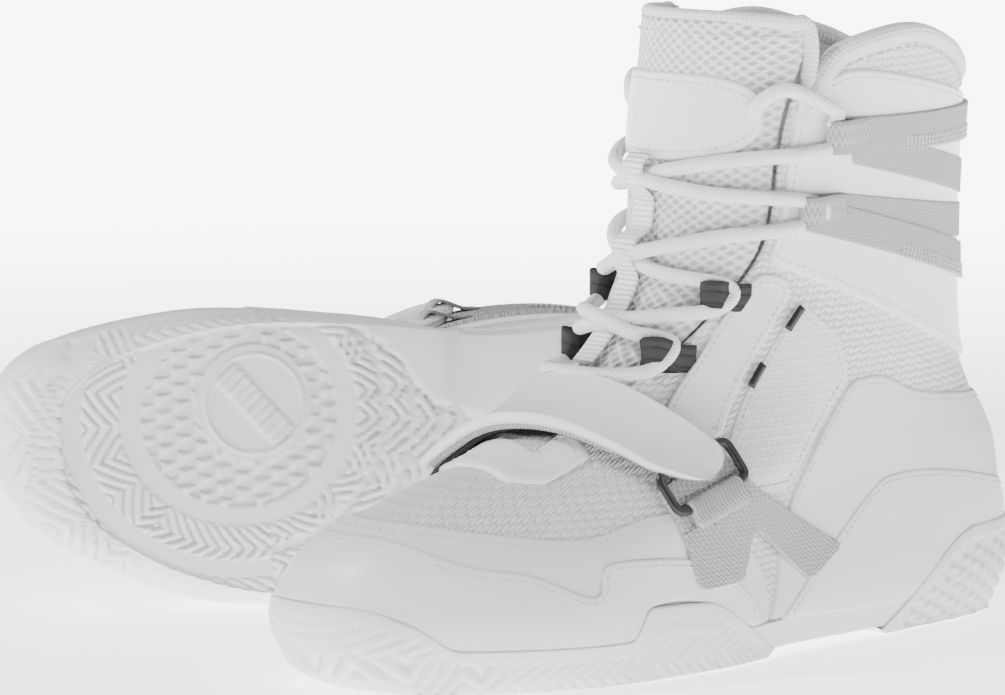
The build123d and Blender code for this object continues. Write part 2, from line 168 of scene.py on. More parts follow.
OFFSET = {"left": box_middle("left_shank_plate") - SHANK_MIDDLE,
          "right": box_middle("right_shank_plate") - RIGHT_TURN @ SHANK_MIDDLE}


def place(side, points):
    """Boot millimetres to row metres."""
    points = np.asarray(points, float)
    if side == "right":
        points = (points * (-1, 1, 1)) @ RIGHT_TURN.T
    return (points + OFFSET[side]) / 1000


def build(side, name, verts, faces, look, nodes=(), body="boot", uv=None, smooth_shaded=True):
    """Mesh object from boot millimetres, riding on its body and standing for its nodes."""
    mesh = bpy.data.meshes.new(side + "_" + name)
    if side == "right":
        faces = [tuple(reversed(face)) for face in faces]
    mesh.from_pydata(place(side, verts).tolist(), [], [tuple(int(i) for i in face) for face in faces])
    if uv is not None:
        layer = mesh.uv_layers.new(name="UVMap")
        corners = np.empty(len(mesh.loops), dtype=np.int32)
        mesh.loops.foreach_get("vertex_index", corners)
        layer.data.foreach_set("uv", np.asarray(uv, float)[corners].ravel())
    mesh.validate()
    mesh.polygons.foreach_set("use_smooth", [smooth_shaded] * len(mesh.polygons))
    piece = bpy.data.objects.new(side + "_" + name, mesh)
    bpy.context.scene.collection.objects.link(piece)
    mesh.materials.append(LOOKS[look])
    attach(piece, side + "_" + body)
    if nodes:
        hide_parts(*[side + "_" + node for node in nodes])
    return piece


def grid_faces(rows, columns, wrap=False, start=0):
    """Quads of a grid of points, closed round its columns if wrap."""
    faces = []
    for i in range(rows - 1):
        for j in range(columns if wrap else columns - 1):
            k = (j + 1) % columns
            faces.append((start + i * columns + j, start + i * columns + k,
                          start + (i + 1) * columns + k, start + (i + 1) * columns + j))
    return faces


def shell(outer, inner):
    """Closed solid between two grids: its faces look out of the outer one."""
    rows, columns = outer.shape[:2]
    count = rows * columns
    faces = grid_faces(rows, columns)
    faces += [tuple(reversed(face)) for face in grid_faces(rows, columns, start=count)]
    border = ([(0, j) for j in range(columns - 1)] + [(i, columns - 1) for i in range(rows - 1)]
              + [(rows - 1, j) for j in range(columns - 1, 0, -1)] + [(i, 0) for i in range(rows - 1, 0, -1)])
    ring = [i * columns + j for i, j in border]
    for here, after in zip(ring, ring[1:] + ring[:1]):
        faces.append((after, here, here + count, after + count))
    return np.concatenate([outer.reshape(-1, 3), inner.reshape(-1, 3)]), faces


def tube(path, normals, across, thick, sides=12, closed=False, power=1.0):
    """Bar along a path: across is its half width, thick its half height along the normals."""
    path = np.asarray(path, float)
    if closed:
        ahead = np.roll(path, -1, 0) - np.roll(path, 1, 0)
    else:
        ahead = np.gradient(path, axis=0)
    ahead = unit(ahead)
    normals = unit(normals - ahead * np.sum(normals * ahead, -1, keepdims=True))
    wide = np.cross(ahead, normals)
    turn = np.arange(sides) * 2 * PI / sides
    c = np.sign(np.cos(turn)) * np.abs(np.cos(turn)) ** power
    s = np.sign(np.sin(turn)) * np.abs(np.sin(turn)) ** power
    across = np.broadcast_to(np.asarray(across, float), (len(path),))
    thick = np.broadcast_to(np.asarray(thick, float), (len(path),))
    verts = (path[:, None] + wide[:, None] * (c[None, :] * across[:, None])[..., None]
             + normals[:, None] * (s[None, :] * thick[:, None])[..., None])
    length = np.concatenate([[0], np.cumsum(np.linalg.norm(np.diff(path, axis=0), axis=1))])
    uv = np.stack(np.broadcast_arrays(turn[None, :] / (2 * PI), length[:, None]), -1)
    faces = [tuple(reversed(face)) for face in grid_faces(len(path), sides, wrap=True)]
    if closed:
        last = (len(path) - 1) * sides
        faces += [(j, (j + 1) % sides, last + (j + 1) % sides, last + j) for j in range(sides)]
    else:
        last = (len(path) - 1) * sides
        faces.append(tuple(range(sides)))
        faces.append(tuple(range(last + sides - 1, last - 1, -1)))
    return verts.reshape(-1, 3), faces, uv.reshape(-1, 2)


def spline(points, per_run=6, closed=False):
    """Smooth curve through points."""
    points = np.asarray(points, float)
    if closed:
        padded = np.concatenate([points[-1:], points, points[:2]])
    else:
        padded = np.concatenate([2 * points[:1] - points[1:2], points, 2 * points[-1:] - points[-2:-1]])
    u = np.linspace(0, 1, per_run, endpoint=False)[:, None]
    runs = []
    for p, q, r, s in zip(padded, padded[1:], padded[2:], padded[3:]):
        runs.append(0.5 * (2 * q + (r - p) * u + (2 * p - 5 * q + 4 * r - s) * u * u
                           + (3 * q - p - 3 * r + s) * u ** 3))
    curve = np.concatenate(runs)
    return curve if closed else np.concatenate([curve, points[-1:]])


def resample(points, step, closed=False):
    """Points at equal steps along a polyline."""
    points = np.asarray(points, float)
    if closed:
        points = np.concatenate([points, points[:1]])
    length = np.concatenate([[0], np.cumsum(np.linalg.norm(np.diff(points, axis=0), axis=1))])
    count = max(2, int(round(length[-1] / step)))
    stops = np.linspace(0, length[-1], count + 1)[:count if closed else None]
    return np.stack([np.interp(stops, length, column) for column in points.T], -1)


# ---- materials ----------------------------------------------------------------------------
# Relief patterns are shader groups that read the millimetre UVs; every look adds its own
# colour and roughness, with a little unevenness so that nothing is flat.
def join(tree, socket, value):
    if hasattr(value, "is_linked") or hasattr(value, "links"):
        tree.links.new(value, socket)
    else:
        socket.default_value = value


def calc(tree, operation, *values):
    node = tree.nodes.new("ShaderNodeMath")
    node.operation = operation
    for socket, value in zip(node.inputs, values):
        join(tree, socket, value)
    return node.outputs[0]


def pattern_group(name, draw):
    """Group with a pitch input in millimetres and a height output from 0 to 1."""
    tree = bpy.data.node_groups.new(name, "ShaderNodeTree")
    tree.interface.new_socket("pitch", in_out="INPUT", socket_type="NodeSocketFloat")
    tree.interface.new_socket("height", in_out="OUTPUT", socket_type="NodeSocketFloat")
    inside = tree.nodes.new("NodeGroupInput")
    outside = tree.nodes.new("NodeGroupOutput")
    uv = tree.nodes.new("ShaderNodeUVMap")
    uv.uv_map = "UVMap"
    split = tree.nodes.new("ShaderNodeSeparateXYZ")
    tree.links.new(uv.outputs[0], split.inputs[0])
    rate = calc(tree, "DIVIDE", PI, inside.outputs[0])
    u = calc(tree, "MULTIPLY", split.outputs[0], rate)
    v = calc(tree, "MULTIPLY", split.outputs[1], rate)
    tree.links.new(draw(tree, u, v), outside.inputs[0])
    return tree


def wave(tree, value):
    return calc(tree, "ABSOLUTE", calc(tree, "SINE", value))


def draw_diamonds(tree, u, v):
    """Crossing threads with open diamonds between them."""
    one = wave(tree, calc(tree, "ADD", u, v))
    two = wave(tree, calc(tree, "SUBTRACT", u, v))
    return calc(tree, "SUBTRACT", 1.0, calc(tree, "MULTIPLY", one, two))


def draw_ribs(tree, u, v):
    """Ribs across the length of a tape."""
    return calc(tree, "POWER", wave(tree, v), 0.6)


def draw_herringbone(tree, u, v):
    """Slanting ribs that turn back at each column."""
    fold = calc(tree, "PINGPONG", u, 2.4)
    return calc(tree, "POWER", wave(tree, calc(tree, "ADD", v, fold)), 0.7)


def draw_knit(tree, u, v):
    """Small knitted cells in offset columns."""
    shift = calc(tree, "MULTIPLY", wave(tree, calc(tree, "MULTIPLY", u, 0.5)), 1.2)
    cell = wave(tree, calc(tree, "ADD", v, shift))
    return calc(tree, "MULTIPLY", calc(tree, "POWER", cell, 0.8), calc(tree, "ADD", wave(tree, u), 0.3))


def draw_braid(tree, u, v):
    """Plaited yarns round a cord: u counts once round."""
    round_ = calc(tree, "MULTIPLY", u, 12.0)
    one = wave(tree, calc(tree, "ADD", v, round_))
    two = wave(tree, calc(tree, "SUBTRACT", v, round_))
    return calc(tree, "MAXIMUM", one, two)


def draw_grid(tree, u, v):
    """Fine threads with a raised square grid."""
    one = calc(tree, "POWER", wave(tree, u), 12.0)
    two = calc(tree, "POWER", wave(tree, v), 12.0)
    return calc(tree, "MAXIMUM", one, two)


GROUPS = {name: pattern_group(name, draw) for name, draw in (
    ("diamonds", draw_diamonds), ("ribs", draw_ribs), ("herringbone", draw_herringbone),
    ("knit", draw_knit), ("braid", draw_braid), ("grid", draw_grid))}


def make_look(name, colour, shade_and_mottle, rough, pattern=None, pitch=2.0, depth=0.3, grain=0.0, grain_size=0.6,
              sheen=0.0, coat=0.0):
    """Principled material: colour on the high parts of its pattern and painted shade in the low ones; a plain
    look mottles at random towards its second colour.
    """
    material = bpy.data.materials.new(name)
    material.use_nodes = True
    tree = material.node_tree
    shader = tree.nodes["Principled BSDF"]
    place_ = tree.nodes.new("ShaderNodeTexCoord")
    noise = tree.nodes.new("ShaderNodeTexNoise")
    noise.inputs["Scale"].default_value = 1000 / grain_size
    noise.inputs["Detail"].default_value = 4.0
    tree.links.new(place_.outputs["Object"], noise.inputs["Vector"])
    broad = tree.nodes.new("ShaderNodeTexNoise")
    broad.inputs["Scale"].default_value = 35.0
    tree.links.new(place_.outputs["Object"], broad.inputs["Vector"])
    height = calc(tree, "MULTIPLY", noise.outputs[0], grain)
    mix = tree.nodes.new("ShaderNodeMix")
    mix.data_type = "RGBA"
    # The second colour is painted shade in a pattern's low parts, and random mottle on a plain look.
    mix.inputs[6].default_value = (*shade_and_mottle, 1)
    mix.inputs[7].default_value = (*colour, 1)
    if pattern:
        group = tree.nodes.new("ShaderNodeGroup")
        group.node_tree = GROUPS[pattern]
        group.inputs[0].default_value = pitch
        height = calc(tree, "ADD", height, calc(tree, "MULTIPLY", group.outputs[0], depth))
        # Painted shade: the pattern's low parts take the second, deeper colour.
        painted_shade_factor = calc(tree, "MULTIPLY_ADD", group.outputs[0], 1.3, -0.05)
        tree.links.new(painted_shade_factor, mix.inputs[0])
    else:
        mix.inputs[0].default_value = 1.0
        tree.links.new(calc(tree, "MULTIPLY_ADD", broad.outputs[0], 0.5, 0.62), mix.inputs[0])
    tree.links.new(mix.outputs[2], shader.inputs["Base Color"])
    uneven = calc(tree, "MULTIPLY_ADD", broad.outputs[0], 0.12, rough - 0.06)
    tree.links.new(uneven, shader.inputs["Roughness"])
    bump = tree.nodes.new("ShaderNodeBump")
    bump.inputs["Distance"].default_value = 0.001
    bump.inputs["Strength"].default_value = 1.0
    tree.links.new(height, bump.inputs["Height"])
    tree.links.new(bump.outputs[0], shader.inputs["Normal"])
    shader.inputs["Sheen Weight"].default_value = sheen
    shader.inputs["Coat Weight"].default_value = coat
    return material


WHITE = (0.86, 0.86, 0.865)
# In each patterned look the second colour is painted shade for the low parts of its weave; in a plain look it
# is random mottle.
LOOKS = {
    "white_rubber": make_look("white_rubber", (0.84, 0.84, 0.845), (0.80, 0.80, 0.81), 0.5, grain=0.02),
    "white_leather": make_look("white_leather", WHITE, (0.83, 0.83, 0.835), 0.42, grain=0.045,
                               grain_size=0.9),
    "blush_suede": make_look("blush_suede", (0.86, 0.795, 0.775), (0.80, 0.72, 0.70), 0.85, grain=0.09,
                             grain_size=0.4, sheen=0.3),
    "foam": make_look("foam", (0.86, 0.86, 0.86), (0.8, 0.8, 0.8), 0.7, grain=0.04),
    "shank": make_look("shank", (0.05, 0.05, 0.05), (0.03, 0.03, 0.03), 0.4, grain=0.02),
    "board": make_look("board", (0.6, 0.55, 0.45), (0.5, 0.45, 0.36), 0.8, grain=0.06),
    "lining": make_look("lining", (0.82, 0.82, 0.83), (0.70, 0.70, 0.72), 0.85, "knit", 1.6, 0.2, grain=0.05,
                        sheen=0.2),
    "knit_mesh": make_look("knit_mesh", (0.84, 0.84, 0.85), (0.60, 0.60, 0.62), 0.75, "knit", 2.4, 0.4,
                           grain=0.04),
    "open_mesh": make_look("open_mesh", (0.84, 0.84, 0.85), (0.45, 0.45, 0.47), 0.7, "diamonds", 3.4, 0.7,
                           grain=0.04),
    "ripstop": make_look("ripstop", (0.82, 0.82, 0.83), (0.76, 0.76, 0.77), 0.45, "grid", 3.0, 0.12,
                         grain=0.03),
    "white_webbing": make_look("white_webbing", WHITE, (0.66, 0.66, 0.68), 0.7, "ribs", 1.9, 0.45,
                               grain=0.04),
    "black_webbing": make_look("black_webbing", (0.022, 0.022, 0.024), (0.006, 0.006, 0.006), 0.75, "ribs",
                               1.1, 0.3, grain=0.05),
    "grey_webbing": make_look("grey_webbing", (0.46, 0.46, 0.47), (0.24, 0.24, 0.25), 0.75, "herringbone",
                              1.2, 0.3, grain=0.05),
    "white_cord": make_look("white_cord", WHITE, (0.62, 0.62, 0.64), 0.7, "braid", 1.5, 0.3, grain=0.04),
    "grey_elastic": make_look("grey_elastic", (0.50, 0.50, 0.51), (0.26, 0.26, 0.27), 0.8, "herringbone", 1.5,
                              0.35, grain=0.05),
    "black_plastic": make_look("black_plastic", (0.02, 0.02, 0.021), (0.012, 0.012, 0.012), 0.35, grain=0.03),
}
for node_name, look in (("midsole", "foam"), ("shank_plate", "shank"), ("lasting_board", "board"),
                        ("sockliner", "lining"), ("stiffeners", "board")):
    for side in ("left", "right"):
        hidden = bpy.data.objects[side + "_" + node_name]
        hidden.data.materials.clear()
        hidden.data.materials.append(LOOKS[look])

# ---- the soles ----------------------------------------------------------------------------
# A forefoot cup and a heel pod of rubber with a smooth arch shell between them. The tread is
# cut into the underside as heights over (x, a), and the rim climbs the side of the foot.
RIM = ((310, 29), (297, 29), (285, 24), (272, 16), (216, 15), (207, 25), (182, 24), (160, 14), (149, 7),
       (140, 0))
POD_RIM = ((86, 0), (80, 4), (32, 32), (-10, 32))
ARCH_RIM = ((150, 12.6), (66, 12.6))
WAIST_OVAL = ((100, -60), (105, -30), (110, -12), (118, -6), (132, -4), (147, -9), (157, -17), (165, -30),
              (178, -41), (186, -60))


def ease(x):
    x = np.clip(x, 0, 1)
    return x * x * (3 - 2 * x)


def triangle(x, period):
    return np.abs((x / period) % 1 - 0.5) * period


def wedges(x, a):
    """Rows of small wedge teeth, as the depth cut between them."""
    row = np.floor(a / 6.4)
    p = ((x + (row % 2) * 2.9) / 5.8) % 1
    q = (a / 6.4) % 1
    tooth = ease((0.1 + 0.66 * q - p) * 12) * ease((0.9 - q) * 12) * ease(p * 14)
    return 2.3 - tooth * (0.5 + 1.7 * q)


def forefoot_tread(x, a):
    """Depth cut into the forefoot: pivot disc, wedge island, herringbone bands, toe teeth."""
    ahead = a - 219
    rho = np.hypot((x + 14) / 32, ahead / np.where(ahead > 0, 36, 33))
    bearing = np.arctan2(x + 14, ahead)
    arc = bearing * 45
    cut = np.full(x.shape, 1.3)
    front = ((1.2, 1.57), (1.76, 2.25))
    rear = ((1.21, 1.46), (1.53, 1.77), (1.83, 2.07), (2.13, 2.38), (2.44, 2.7))
    for bands, zone in ((front, ahead > -6), (rear, ahead <= -6)):
        for low, high in bands:
            t = (rho - low) / (high - low)
            width = (high - low) * 34
            zigzag = t * width + triangle(arc, 21)
            chevron = arc + np.abs(t - 0.62) * width
            sideways = ease((np.abs(np.abs(bearing) - 1.35) < 0.55) * 1.0)
            phase = np.where((sideways > 0.5) & (ahead > -30), chevron, zigzag)
            bars = 2.6 * (1 - np.abs(np.sin(PI * phase / 4.2)) ** 0.6)
            inside = ease(t * width / 0.7) * ease((1 - t) * width / 0.7) * zone
            cut = cut * (1 - inside) + bars * inside
    teeth = wedges(x, a)
    island = ease((1.0 - rho) * 30)
    toe = ease((rho - 2.32) * 24) * (ahead > 25)
    cut = cut * (1 - island) + teeth * island
    cut = cut * (1 - toe) + teeth * toe
    r = np.hypot(x + 17, a - 215)
    disc = ease((21 - r) / 0.8)
    line = ease(1 - np.abs(r - 17) / 0.8)
    u = (x + 17) * 0.62 + (a - 215) * 0.78
    v = (x + 17) * 0.78 - (a - 215) * 0.62
    plank = ease((5 - np.abs(u)) * 1.4) * ease((15 - np.abs(v)) * 1.4)
    ribs = np.abs(np.sin(PI * v / 3.2)) ** 0.5
    emblem = 1.3 - 1.0 * line * (1 - plank) - plank * 1.1 * ribs
    cut = cut * (1 - disc) + emblem * disc
    return waist(x, a, cut)


def waist(x, a, cut):
    """The smooth oval pad that runs from the inner side under the waist."""
    reach = (smooth(WAIST_OVAL, a) - x) * 0.8
    pad = ease(reach / 2.2)
    groove = ease(1 - np.abs(reach + 0.9) / 1.2)
    return cut * (1 - pad) + 0.9 * groove * (1 - pad)


def heel_tread(x, a):
    """Depth cut into the heel pod: teeth inside a plain border, with two bands across."""
    rho = np.hypot(x / 33, (a - 44) / 36)
    cut = np.full(x.shape, 0.75)
    inner = ease((0.9 - rho) * 22)
    cut = cut * (1 - inner) + wedges(x, a) * inner
    t = (rho - 0.45) / 0.22
    arc = np.arctan2(x, a - 44) * 22
    bars = 2.3 * (1 - np.abs(np.sin(PI * (t * 8 + triangle(arc, 17)) / 4.0)) ** 0.6)
    band = ease(t * 9) * ease((1 - t) * 9)
    return cut * (1 - band) + bars * band


def arch_tread(x, a):
    return waist(x, a, np.full(x.shape, 1.1) + 0.25 * np.sin(a * 0.55) * (x > 0))


def rim_height(edge, turns):
    """Height where an edge crosses each turn of the foot, found on dense points of the edge."""
    ends = (min(p[0] for p in edge), max(p[0] for p in edge))
    a = np.linspace(ends[0], ends[1], 900)
    z = smooth(edge, a)
    heel = smooth(HEEL_CURVE, z)
    share = (a - heel) / (smooth(INSTEP_CURVE, z) - heel)
    kept = (share > 0) & (share < 1)
    found = np.arccos(1 - 2 * share[kept])
    order = np.argsort(found)
    return np.interp(turns, found[order], z[kept][order])


def sole(side, name, node, turns, rim, tread, bottom, lift, look, relief=0.0, columns=150):
    """Cup of rubber: for each turn a wall up the inner side, the underside, and a wall up the outer side."""
    slack = SLACK[side]
    tops = np.maximum(rim_height(rim, turns), bottom + 0.6)[:, None]
    climb = np.linspace(0, 1, 30)[None, :]
    z = bottom + 1.0 + (np.maximum(tops - bottom - 1.0, 0.1)) * climb
    turn = np.broadcast_to(turns[:, None], z.shape)
    walls = []
    for way in (1, -1):
        a = along(turn, z)
        ceiling = tops - np.where((a > 176) & (a < 212), 9.0, 3.6)
        region = ease((a - 150) / 8) * ease((ceiling - z) / 1.2) * ease((z - 0.5) / 1.0)
        fold = a + np.abs(z - 0.45 * ceiling) * 1.15
        bars = relief * region * (1 - np.abs(np.sin(PI * fold / 5.0)) ** 0.6)
        ribs = (ease((a - 180) / 3) * ease((207 - a) / 3) * ease((z - tops + 7.5) / 0.8)
                * ease((tops - 3 - z) / 0.8))
        bars = bars + relief * 0.7 * ribs * (1 - np.abs(np.sin(PI * a / 2.4)) ** 0.6)
        pod = (relief == 0) & (tops > 12) & (lift > 2)
        bars = bars + pod * 0.6 * ease((tops - 4 - z) / 1.5) * ease(z / 2) * wedges(z * 1.3, a + z * 0.5)
        low = ease((17 - z) / 6) * ease((a - 248) / 18) * (relief > 0) * ease((tops - 3 - z) / 2)
        here = bare(way * turn, z, slack)
        bars = bars * (1 - low) + low * ease((z - 0.6) / 1.4) * tread(here[..., 0], a)
        walls.append(surface(way * turn, z, lift - bars, slack))
        for dz, share in ((0.35, 0.8), (0.3, 0.35), (-0.5, 0.0)):
            edge = surface(way * turn[:, -1:], tops + dz, np.full(tops.shape, 0.1 + (lift - 0.1) * share),
                           slack)
            walls[-1] = np.concatenate([walls[-1], edge], 1)
    outer_foot, inner_foot = walls[0][:, 0], walls[1][:, 0]
    across = np.linspace(0, 1, columns)[None, 1:-1, None]
    across = across - 0.35 * np.sin(across * 2 * PI) / (2 * PI)
    under = inner_foot[:, None] * (1 - across) + outer_foot[:, None] * across
    width = np.linalg.norm(outer_foot - inner_foot, axis=-1)[:, None]
    near = np.minimum(across[..., 0], 1 - across[..., 0]) * width
    toe_end = np.minimum(np.abs(under[..., 1] - outer_foot[-1, 1]), 60)
    near = np.minimum(near, toe_end)
    round_ = np.clip(1 - near / 6, 0, 1) ** 2
    fade = ease(near / 1.6)
    depth = tread(under[..., 0], LENGTH / 2 - under[..., 1])
    under[..., 2] = bottom + 1.0 * round_ + depth * fade
    points = np.concatenate([walls[1][:, ::-1], under, walls[0]], 1)
    opening = np.abs(points[..., 1] - outer_foot[0, 1])
    points[..., 2] = np.maximum(points[..., 2], 3.4 * (1 - ease(opening / 7)) * (turns[0] > 1))
    rows, count = points.shape[:2]
    faces = grid_faces(rows, count)
    if turns[-1] < turns[0]:
        faces = [tuple(reversed(face)) for face in faces]
    return build(side, name, points.reshape(-1, 3), faces, look, nodes=(node,))


def turns_between(first, last, z, count, crowd=0.75):
    """Turns from one distance forward to another, crowded where the foot's end turns across."""
    heel, toe = smooth(HEEL_CURVE, z), smooth(INSTEP_CURVE, z)
    ends = [math.acos(max(-1, min(1, 1 - 2 * (a - heel) / (toe - heel)))) for a in (first, last)]
    base = np.linspace(0, 1, count)
    base = 1 - (1 - base) ** (1 + crowd)
    return ends[0] + (ends[1] - ends[0]) * base


for side in ("left", "right"):
    sole(side, "forefoot_cup", "forefoot_outsole", turns_between(141, 400, 0.0, 330), RIM, forefoot_tread,
         0.0, 2.3, "white_rubber", relief=0.95)
    sole(side, "heel_pod", "heel_outsole", turns_between(86, -50, 0.0, 190), POD_RIM, heel_tread, 0.0, 2.3,
         "white_rubber")
    sole(side, "waist_shell", "arch_shell", turns_between(68, 152, 0.0, 100, crowd=0.0), ARCH_RIM, arch_tread,
         2.6, 1.5, "white_leather", columns=90)

# ---- panels of the upper ------------------------------------------------------------------
# A panel is cut out flat, in arc length round the foot by height, filled with triangles and
# laid back on the foot with a rolled edge.
CAP_EDGE = ((310, 54), (285, 52), (268, 43), (249, 39), (229, 31), (221, 41), (181, 38), (158, 24),
            (151, 13.6))
BAND_EDGE = ((310, 60), (285, 57), (250, 51), (226, 49), (195, 54), (170, 50), (150, 32), (145, 14))
COUNTER_EDGE = ((138, 14), (130, 20), (90, 50), (71, 55), (40, 52), (-10, 41))
PANEL_EDGE = ((144, 14), (142, 21), (131, 52), (102, 85), (92, 89), (80, 88), (55, 80), (-10, 73))
COLLAR_EDGE = ((150, 184), (122, 194), (104, 204), (80, 207), (50, 200), (20, 187), (-10, 184))
CUFF_LOW = ((136, 132), (40, 94), (-10, 78))
CUFF_HIGH = ((131, 178), (112, 190), (93, 193), (40, 182), (-10, 168))
EYESTAY = ((183, 76), (180, 81), (160, 100), (141, 121), (134, 127), (126, 126), (123, 120), (156, 80),
           (160, 75))
QUARTER = ((172, 56), (157, 75), (120, 117), (104, 104), (100, 90), (134, 56))
ELASTIC = ((195, 60), (164, 71), (156, 60), (106, 34), (124, 24), (156, 46), (163, 29), (185, 28), (191, 50))


def unroll(z, slack):
    """Arc length round the foot at a height, for turns on both sides of the toe."""
    turns = np.linspace(-PI, 3 * PI, 3001)
    ring = bare(turns, np.full(turns.shape, float(z)), slack)
    length = np.concatenate([[0], np.cumsum(np.linalg.norm(np.diff(ring, axis=0), axis=1))])
    return turns, length - np.interp(PI, turns, length)


def turned(a, z):
    """Turns on the outer side for points given as (a, z)."""
    heel = smooth(HEEL_CURVE, z)
    share = (np.asarray(a, float) - heel) / (smooth(INSTEP_CURVE, z) - heel)
    return np.arccos(np.clip(1 - 2 * share, -1, 1)), share


def edge_line(edge, rounded=True):
    """Dense (turn, z) points of an edge given from front to back, ended at the centre lines."""
    edge = np.array(edge, float)
    if rounded:
        points = resample(spline(edge, 12), 1.2)
    else:
        points = resample(edge, 1.2)
    turn, share = turned(points[:, 0], points[:, 1])
    kept = (share > 0.0005) & (share < 0.9995)
    line = np.stack([turn[kept], points[kept, 1]], -1)
    first, last = np.flatnonzero(kept)[[0, -1]]
    if first > 0:
        line = np.concatenate([[[PI, points[first, 1]]], line])
    if last < len(points) - 1:
        line = np.concatenate([line, [[0.0, points[last, 1]]]])
    return line


def wrapped(high, low, round_heel):
    """Outline of a piece that runs round the toe or heel from one side to the other."""
    def other(line):
        return np.stack([(0 if round_heel else 2 * PI) - line[:, 0], line[:, 1]], -1)[::-1]
    if round_heel:
        return np.concatenate([high, other(high)[1:], other(low)[::-1], low[::-1][1:]])
    return np.concatenate([other(high), high[1:], low[::-1], other(low)[::-1][1:]])


def one_side(points, way, rounds=3):
    """Outline of a piece on one side, its corners rounded by cutting them."""
    points = resample(points, 4.0, closed=True)
    for _ in range(rounds):
        after = np.roll(points, -1, 0)
        points = np.stack([points * 0.75 + after * 0.25, points * 0.25 + after * 0.75], 1).reshape(-1, 2)
    points = resample(points, 1.3, closed=True)
    turn, _ = turned(points[:, 0], points[:, 1])
    return np.stack([turn if way > 0 else 2 * PI - turn, points[:, 1]], -1)


def gap_to(points, line, closed=True):
    """Distance of each point from a polyline."""
    line = np.concatenate([line, line[:1]]) if closed else line
    best = np.full(len(points), 1e9)
    for p, q in zip(line, line[1:]):
        run = q - p
        t = np.clip(((points - p) @ run) / max(run @ run, 1e-9), 0, 1)
        best = np.minimum(best, np.linalg.norm(points - p - t[:, None] * run, axis=1))
    return best


def contains(points, line):
    """Which points a closed outline holds."""
    inside = np.zeros(len(points), bool)
    for (x0, y0), (x1, y1) in zip(line, np.roll(line, -1, 0)):
        if y0 != y1:
            crossing = x0 + (points[:, 1] - y0) * (x1 - x0) / (y1 - y0)
            inside ^= ((y0 > points[:, 1]) != (y1 > points[:, 1])) & (points[:, 0] < crossing)
    return inside


def inset(flat, distance):
    """Points of an outline moved inwards, without those that would come too near to it."""
    run = unit(np.roll(flat, -1, 0) - np.roll(flat, 1, 0))
    inward = np.stack([-run[:, 1], run[:, 0]], -1)
    area = np.sum(flat[:, 0] * np.roll(flat[:, 1], -1) - np.roll(flat[:, 0], -1) * flat[:, 1])
    moved = flat + inward * distance * np.sign(area)
    good = (gap_to(moved, flat) > 0.93 * distance) & contains(moved, flat)
    return moved, good


def panel(side, name, outline, z_ref, base, thick, look, nodes=(), edge=1.1, spacing=2.4, crown=0.0, seam=2.6,
          body="boot", stitch=True, relief=None):
    """Closed panel with a rolled edge; returns its stitch lines as (turn, z) with the seam's lift."""
    slack = SLACK[side]
    turns, length = unroll(z_ref, slack)
    flat = np.stack([np.interp(outline[:, 0], turns, length), outline[:, 1]], -1)
    flat = resample(flat, 1.5, closed=True)
    extra = []
    for distance in (0.3 * edge, 0.75 * edge, 1.4 * edge):
        moved, good = inset(flat, distance)
        extra.append(moved[good])
    low, high = flat.min(0), flat.max(0)
    xs, ys = np.meshgrid(np.arange(low[0], high[0], spacing), np.arange(low[1], high[1], spacing))
    xs = xs + (np.arange(xs.shape[0]) % 2)[:, None] * spacing / 2
    filling = np.stack([xs.ravel(), ys.ravel()], -1)
    filling = filling[contains(filling, flat)]
    filling = filling[gap_to(filling, flat) > 1.4 * edge + 0.8]
    everything = np.concatenate([flat, *extra, filling])
    count = len(flat)
    verts, _, faces, _, _, _ = geometry.delaunay_2d_cdt([Vector(p) for p in everything.tolist()], [],
                                                        [list(range(count))], 1, 1e-4)
    points = np.array([tuple(v) for v in verts])
    distance = gap_to(points, flat)
    near = np.clip(distance / edge, 0, 1)
    rise = np.sqrt(1 - (1 - near) ** 2)
    dip = 0.3 * np.exp(-((distance - seam) / 0.7) ** 2) if stitch else 0.0
    lift = base + thick * rise + crown * (1 - np.exp(-distance / 9)) - dip
    turn = np.interp(points[:, 0], length, turns)
    if relief is not None:
        lift = lift + relief(turn, points[:, 1]) * near
    top = surface(turn, points[:, 1], lift, slack)
    under = surface(turn, points[:, 1], np.full(len(points), base - 0.25), slack)
    faces = [tuple(face) for face in faces]
    # The first face shows whether the flat order looks in or out; all of them follow it.
    way = np.cross(top[faces[0][1]] - top[faces[0][0]], top[faces[0][2]] - top[faces[0][0]])
    if np.dot(way, normal_at(turn[faces[0][0]], points[faces[0][0], 1], slack)) < 0:
        faces = [tuple(reversed(face)) for face in faces]
    used = {}
    for face in faces:
        for i, j in zip(face, face[1:] + face[:1]):
            used[(i, j)] = used.get((i, j), 0) + 1
    total = len(points)
    closed = list(faces) + [tuple(total + i for i in reversed(face)) for face in faces]
    for i, j in used:
        if (j, i) not in used:
            closed.append((j, i, total + i, total + j))
    uv = np.concatenate([points, points])
    piece = build(side, name, np.concatenate([top, under]), closed, look, nodes=nodes, body=body, uv=uv)
    moved, good = inset(flat, seam)
    seam_turn = np.interp(moved[:, 0], length, turns)
    seam_lift = base + thick + crown * (1 - math.exp(-seam / 9)) - 0.15
    line = np.stack([seam_turn, moved[:, 1], np.full(count, seam_lift)], -1)
    return piece, line, good


